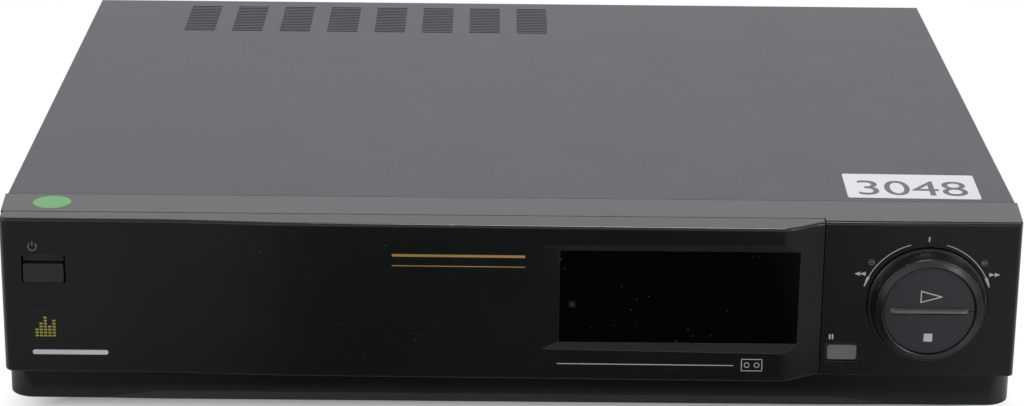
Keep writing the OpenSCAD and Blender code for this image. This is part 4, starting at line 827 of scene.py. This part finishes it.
def small_button_marks():
    """Eject, record and channel symbols on the four buttons behind the door."""
    up, down = math.pi / 2, -math.pi / 2
    width, length = 3.0, 1.9
    eject_length, eject_rise, bar_drop, bar_width = 1.7, 0.5, 1.1, 0.5
    dot_radius = 1.2
    red = ink("Red ink", (0.42, 0.02, 0.015))
    symbols = {
        "eject_button": lambda x, z: [triangle_strip(x, z + eject_rise, eject_length, width, up),
                                      bar(x - width / 2, z - bar_drop, x + width / 2, z - bar_drop, bar_width)],
        "record_button": lambda x, z: [disc_strip(x, z, dot_radius)],
        "channel_down_button": lambda x, z: [triangle_strip(x, z, length, width, down)],
        "channel_up_button": lambda x, z: [triangle_strip(x, z, length, width, up)],
    }
    for node, draw in symbols.items():
        low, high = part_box(node)
        x, z = (low.x + high.x) / 2 / MM, ((low.z + high.z) / 2 - TOP_Z) / MM
        print_marks(node + "_symbol", draw(x, z), front_plane(low.y), red if node == "record_button" else white_ink(),
                    node)


class RECORDER_OT_button_marks(bpy.types.Operator):
    """Symbols on the buttons behind the door"""

    bl_idname = "recorder.button_marks"
    bl_label = "Button marks"

    def execute(self, context):
        small_button_marks()
        return {"FINISHED"}


# Stickers

def plate_grid(outline, thickness, crown, rings=6):
    """Thin sticker, closed by its own underside: a ring of doubled points at its middle, its foot, then its top.

    outline is (n, 2) millimetres about the middle. Ring k of the top is the outline times 1 - k / rings, and its
    height is the thickness plus the crown times 1 less that share to the fourth power.
    """
    n = len(outline)
    share = np.linspace(1.0, 0.0, rings + 1)[:, None, None]
    height = np.broadcast_to(thickness + crown * (1.0 - share ** 4), (rings + 1, n, 1))
    top = np.concatenate([outline[None] * share, height], axis=-1)
    foot = np.concatenate([outline, np.zeros((n, 1))], axis=1)[None]
    return np.concatenate([np.zeros((1, n, 3)), foot, top])


def sticker(name, outline, x, y, z, thickness, crown, material):
    """Sticker with its middle x and y millimetres from the middle of the control face, lying at z metres."""
    points = (plate_grid(outline, thickness, crown) + (x, y, -STICKER_SINK)) * MM + (0.0, FACE_Y, z)
    mesh = new_mesh(name, points, grid_faces(*points.shape[:2]), material)
    weld(mesh_piece(name, mesh, "chassis"))


def weld(piece):
    """Joins the doubled vertices of a closed grid and turns its faces outwards."""
    mesh = bmesh.new()
    mesh.from_mesh(piece.data)
    bmesh.ops.remove_doubles(mesh, verts=mesh.verts, dist=1e-7)
    bmesh.ops.recalc_face_normals(mesh, faces=mesh.faces)
    mesh.to_mesh(piece.data)
    mesh.free()


def round_outline(radius, count=72):
    """Circle whose radius sways by 0.4 % with the sine of three times the angle, as a punched paper dot's does."""
    a = np.linspace(0.0, 2 * np.pi, count, endpoint=False)
    r = radius * (1.0 + 0.004 * np.sin(3 * a + 0.7))
    return np.stack([r * np.cos(a), r * np.sin(a)], axis=1)


def turned(points, turn):
    """Points of the plane turned about its origin."""
    c, s = math.cos(turn), math.sin(turn)
    return points @ np.array([[c, s], [-s, c]])


def box_outline(width, depth, corner, turn, steps=6):
    """Rectangle with round corners, turned by a small angle."""
    a = np.radians(np.linspace(0.0, 90.0, steps))
    parts = []
    for k, (sx, sy) in enumerate(((1, 1), (-1, 1), (-1, -1), (1, -1))):
        angle = a + k * np.pi / 2
        centre = np.array([sx * (width / 2 - corner), sy * (depth / 2 - corner)])
        parts.append(centre + corner * np.stack([np.cos(angle), np.sin(angle)], axis=1))
    return turned(np.concatenate(parts), turn)


def number_piece(text, x, y, z, width, height, turn, material):
    """Number on the label: digits as a thin solid mesh, scaled to the given width and height in millimetres."""
    thickness, lift = 0.03, 0.015
    curve = bpy.data.curves.new("label_number", "FONT")
    curve.body = text
    curve.extrude = 0.5
    shape = new_object("label_number_shape", curve)
    bpy.context.view_layer.update()
    mesh = bpy.data.meshes.new_from_object(shape.evaluated_get(bpy.context.evaluated_depsgraph_get()))
    bpy.data.objects.remove(shape)
    points = np.zeros(len(mesh.vertices) * 3)
    mesh.vertices.foreach_get("co", points)
    points = points.reshape(-1, 3)
    low, high = points.min(0), points.max(0)
    points = (points - (low + high) / 2) / (high - low) * (width, height, thickness)
    points[:, :2] = turned(points[:, :2], turn)
    points = (points + (x, y, lift)) * MM + (0.0, FACE_Y, z)
    mesh.vertices.foreach_set("co", points.ravel())
    mesh.materials.clear()
    mesh.materials.append(material)
    mesh_piece("label_number", mesh, "chassis")


# Stickers: places from the middle of the control face, sizes, and rise of their middles, in millimetres
DOT_PLACE, DOT_THICKNESS, DOT_CROWN = (-193.8, 16.7), 0.08, 0.03
LABEL_PLACE, LABEL_THICKNESS, LABEL_CROWN, LABEL_CORNER = (172.4, 47.7), 0.09, 0.02, 1.2
NUMBER_PLACE, NUMBER_SIZE = (172.6, 45.2), (47.0, 19.0)
LABEL_TURN = -1.1


class RECORDER_OT_stickers(bpy.types.Operator):
    """Round green sticker and the white label with a plain number on the cover"""

    bl_idname = "recorder.stickers"
    bl_label = "Stickers"

    def execute(self, context):
        s = sizes()
        green = surface_finish("Green paper", colours().green, 0.55, specular=0.3, fineness=1.2, grain=0.012,
                               cloud=0.08, film=0.05, specks=0.08, edge=0.0)
        sticker("round_sticker", round_outline(s.dot_radius), *DOT_PLACE, TOP_Z, DOT_THICKNESS, DOT_CROWN, green)
        white = surface_finish("Label film", colours().label, 0.35, specular=0.45, fineness=0.5, grain=0.01,
                               cloud=0.03, specks=0.10, scuffs=0.35, edge=0.0, dust=(0.35, 0.35, 0.37))
        turn = math.radians(LABEL_TURN)
        sticker("number_label", box_outline(s.label_width, s.label_depth, LABEL_CORNER, turn), *LABEL_PLACE,
                COVER_TOP, LABEL_THICKNESS, LABEL_CROWN, white)
        number_piece(str(s.label_number), *NUMBER_PLACE, COVER_TOP + (LABEL_THICKNESS + LABEL_CROWN) * MM,
                     *NUMBER_SIZE, turn, ink("Label ink", colours().digits))
        return {"FINISHED"}


# Distance between phono sockets, in millimetres
SOCKET_PITCH = 15.0


def socket_ring(name, x, z, colour, radius=3.9, around=48):
    """Coloured sleeve in a phono socket: a closed profile of radii and depths turned about the socket's axis."""
    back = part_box("audio_sockets")[1].y
    a = np.linspace(0.0, 2 * np.pi, around, endpoint=False)
    profile = np.array([(radius - 1.2, -1.0), (radius - 1.2, 0.45), (radius - 0.9, 0.6), (radius - 0.2, 0.6),
                        (radius, 0.45), (radius, -1.0)])
    reach, depth = profile[:, :1] * MM, profile[:, 1:] * MM
    rings = np.stack([x + reach * np.cos(a), back + depth + np.zeros(around), z + reach * np.sin(a)], axis=-1)
    rings = np.concatenate([rings, rings[:1]])
    mesh = new_mesh(name, rings, grid_faces(*rings.shape[:2]), ink(name.replace("_", " "), colour))
    weld(mesh_piece(name, mesh, "chassis"))


class RECORDER_OT_socket_rings(bpy.types.Operator):
    """Yellow, white and red sleeves of the phono sockets"""

    bl_idname = "recorder.socket_rings"
    bl_label = "Socket sleeves"

    def execute(self, context):
        low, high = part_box("audio_sockets")
        x, z = (low.x + high.x) / 2, (low.z + high.z) / 2
        sleeves = (("yellow_sleeve", (0.60, 0.42, 0.02)), ("white_sleeve", (0.7, 0.7, 0.68)),
                   ("red_sleeve", (0.45, 0.02, 0.02)))
        for place, (name, colour) in zip((-1, 0, 1), sleeves):
            socket_ring(name, x + place * SOCKET_PITCH * MM, z, colour)
        return {"FINISHED"}


# Stage

# The photograph's camera: its place in millimetres from the control face and the top plate, its angles in degrees,
# its focal length in pixels of the picture's width, and the sensor's width in millimetres
CAMERA_PLACE = (-8.5, -1154.63, 407.24)
CAMERA_PITCH = 19.1038
CAMERA_YAW = 0.4124
CAMERA_ROLL = 0.6672
FOCAL_PIXELS = 2941.11
PICTURE_WIDTH = 1024
SENSOR = 36.0


def make_camera():
    """Camera where the photograph was taken from."""
    data = bpy.data.cameras.new("camera")
    data.sensor_width = SENSOR
    data.lens = FOCAL_PIXELS / PICTURE_WIDTH * SENSOR
    data.clip_start, data.clip_end = 0.05, 50.0
    camera = new_object("camera", data)
    pitch, yaw, roll = (math.radians(angle) for angle in (CAMERA_PITCH, CAMERA_YAW, CAMERA_ROLL))
    ahead = Vector((math.sin(yaw) * math.cos(pitch), math.cos(yaw) * math.cos(pitch), -math.sin(pitch)))
    right = Vector((math.cos(yaw), -math.sin(yaw), 0.0))
    down = ahead.cross(right)
    across = math.cos(roll) * right - math.sin(roll) * down
    up = -(math.sin(roll) * right + math.cos(roll) * down)
    place = Vector((CAMERA_PLACE[0] * MM, FACE_Y + CAMERA_PLACE[1] * MM, TOP_Z + CAMERA_PLACE[2] * MM))
    camera.matrix_world = Matrix.Translation(place) @ Matrix((across, up, -ahead)).transposed().to_4x4()
    bpy.context.scene.camera = camera


# How far the floor's shadow reaches inside and outside the object's footprint, in metres
SHADOW_INSIDE = 0.035
SHADOW_OUTSIDE = 0.003


def floor_finish():
    """Pale matt floor, which the camera sees as plain white away from the object and its shadow."""
    made, tree = new_material("Studio floor")
    matt = connect(tree, tree.nodes["Principled BSDF"],
                   {"Base Color": (*colours().floor, 1.0), "Roughness": 0.9, "Specular IOR Level": 0.0})
    place = add(tree, "ShaderNodeTexCoord").outputs["Object"]
    across = add(tree, "ShaderNodeVectorMath", {0: place}, operation="ABSOLUTE").outputs[0]
    half = (Vector(CAD_BOX[1]) - Vector(CAD_BOX[0])) / 2
    beside, before = (maths(tree, "SUBTRACT", coordinate(tree, across, axis), half[axis]) for axis in (0, 1))
    away = remap(tree, maths(tree, "MAXIMUM", beside, before), -SHADOW_INSIDE, SHADOW_OUTSIDE)
    path = add(tree, "ShaderNodeLightPath")
    seen = maths(tree, "MAXIMUM", path.outputs["Is Camera Ray"], path.outputs["Is Transmission Ray"])
    white = add(tree, "ShaderNodeEmission", {"Color": (1.0, 1.0, 1.0, 1.0), "Strength": 1.0})
    blend = add(tree, "ShaderNodeMixShader", {0: maths(tree, "MULTIPLY", seen, away), 1: matt.outputs[0],
                                              2: white.outputs[0]})
    connect(tree, tree.nodes["Material Output"], {"Surface": blend.outputs[0]})
    return made


def make_floor():
    """Flat square floor under the feet."""
    half, count = 6.0, 13
    t = np.linspace(-half, half, count)
    x, y = np.meshgrid(t, t, indexing="ij")
    points = np.stack([x, y, np.zeros_like(x)], axis=-1)
    i, j = np.meshgrid(np.arange(count - 1), np.arange(count - 1), indexing="ij")
    corner = i * count + j
    quads = np.stack([corner, corner + count, corner + count + 1, corner + 1], axis=-1).reshape(-1, 4)
    floor = new_object("floor", new_mesh("floor", points, quads, floor_finish()))


# Each soft lamp: its name, its place and the point that it faces in metres, its width, height and power in watts
LAMPS = (
    ("overhead", (0.1, 0.25, 1.35), (0.0, 0.0, 0.0), 0.45, 0.3, 7.0),
    ("left", (-1.1, -0.5, 0.6), (0.0, 0.0, 0.05), 0.4, 0.6, 1.4),
    ("right", (0.95, -0.75, 0.75), (0.1, FACE_Y, 0.05), 0.4, 0.4, 2.4),
)


def soft_light(name, place, target, width, height, power):
    """Large soft lamp that faces a point."""
    data = bpy.data.lights.new(name, "AREA")
    data.shape = "RECTANGLE"
    data.size, data.size_y = width, height
    data.energy = power
    lamp = new_object(name, data)
    lamp.location = place
    lamp.rotation_mode = "QUATERNION"
    lamp.rotation_quaternion = (Vector(target) - Vector(place)).to_track_quat("-Z", "Y")
    lamp.visible_camera = False


# Light of the surroundings on matt surfaces, and of the ceiling in gloss, as shares of white. The ceiling darkens
# between two heights of the direction looked in, where 0 is level and 1 is straight up.
SOFT_LIGHT = 0.5
CEILING_LIGHT = 0.30
CEILING = (0.60, 0.84)


def make_world():
    """Even pale surroundings, seen as white by the camera, with a dim ceiling that only gloss sees."""
    world = bpy.data.worlds.new("studio")
    bpy.context.scene.world = world
    world.use_nodes = True
    tree = world.node_tree
    path = add(tree, "ShaderNodeLightPath")
    height = coordinate(tree, add(tree, "ShaderNodeTexCoord").outputs["Generated"], 2)
    ceiling = remap(tree, height, *CEILING, 1.0, CEILING_LIGHT)
    gloss = maths(tree, "MULTIPLY", path.outputs["Is Glossy Ray"], ceiling)
    seen = maths(tree, "MAXIMUM", path.outputs["Is Camera Ray"], path.outputs["Is Transmission Ray"])
    other = maths(tree, "SUBTRACT", 1.0, maths(tree, "MAXIMUM", seen, path.outputs["Is Glossy Ray"]))
    soft = maths(tree, "MULTIPLY", other, SOFT_LIGHT)
    strength = maths(tree, "ADD", maths(tree, "MAXIMUM", seen, gloss), soft)
    connect(tree, tree.nodes["Background"], {"Color": (1.0, 1.0, 1.0, 1.0), "Strength": strength})


CARD_BLACK = 0.01


def card_finish():
    """Matt card, nearly black in the middle and greyer towards both sides."""
    made, tree = new_material("Grey card")
    x = coordinate(tree, add(tree, "ShaderNodeTexCoord").outputs["Object"], 0)
    left = remap(tree, x, -0.09, -0.20, CARD_BLACK, 0.30)
    right = remap(tree, x, 0.125, 0.21, CARD_BLACK, 0.34)
    connect(tree, tree.nodes["Principled BSDF"], {"Base Color": maths(tree, "MAXIMUM", left, right),
                                                  "Roughness": 1.0, "Specular IOR Level": 0.0})
    return made


def make_flag():
    """Dark card lying in front of the object, which the camera, soft light and shadows don't see but gloss does."""
    side, near, far, lift = 0.9, FACE_Y - 0.019, FACE_Y - 1.6, 0.0005
    points = np.array([(-side, far, lift), (side, far, lift), (side, near, lift), (-side, near, lift)])
    flag = new_object("flag", new_mesh("flag", points, np.array([(0, 1, 2, 3)]), card_finish()))
    flag.visible_camera = False
    flag.visible_diffuse = False
    flag.visible_shadow = False


class RECORDER_OT_stage(bpy.types.Operator):
    """Camera, pale floor, soft lamps and surroundings"""

    bl_idname = "recorder.stage"
    bl_label = "Stage"

    def execute(self, context):
        context.scene.view_settings.view_transform = "Standard"
        make_camera()
        make_floor()
        make_world()
        make_flag()
        for lamp in LAMPS:
            soft_light(*lamp)
        return {"FINISHED"}


class RECORDER_PT_pieces(bpy.types.Panel):
    """Lists the operators that build the recorder's looks"""

    bl_idname = "RECORDER_PT_pieces"
    bl_label = "Recorder"
    bl_space_type = "VIEW_3D"
    bl_region_type = "UI"
    bl_category = "Recorder"

    def draw(self, context):
        for operator in OPERATORS:
            self.layout.operator(operator.bl_idname)


OPERATORS = (
    RECORDER_OT_casing,
    RECORDER_OT_door,
    RECORDER_OT_controls,
    RECORDER_OT_mechanism,
    RECORDER_OT_electronics,
    RECORDER_OT_control_marks,
    RECORDER_OT_door_marks,
    RECORDER_OT_button_marks,
    RECORDER_OT_stickers,
    RECORDER_OT_socket_rings,
    RECORDER_OT_stage,
)
CLASSES = (RecorderSizes, RecorderColours, *OPERATORS, RECORDER_PT_pieces)


def register():
    for cls in CLASSES:
        bpy.utils.register_class(cls)
    bpy.types.Scene.recorder_sizes = PointerProperty(type=RecorderSizes)
    bpy.types.Scene.recorder_colours = PointerProperty(type=RecorderColours)


def unregister():
    del bpy.types.Scene.recorder_sizes
    del bpy.types.Scene.recorder_colours
    for cls in reversed(CLASSES):
        bpy.utils.unregister_class(cls)


def main():
    register()
    for operator in OPERATORS:
        family, name = operator.bl_idname.split(".")
        if getattr(getattr(bpy.ops, family), name)() != {"FINISHED"}:
            raise RuntimeError(operator.bl_label + " did not finish")


if __name__ == "__main__":
    main()
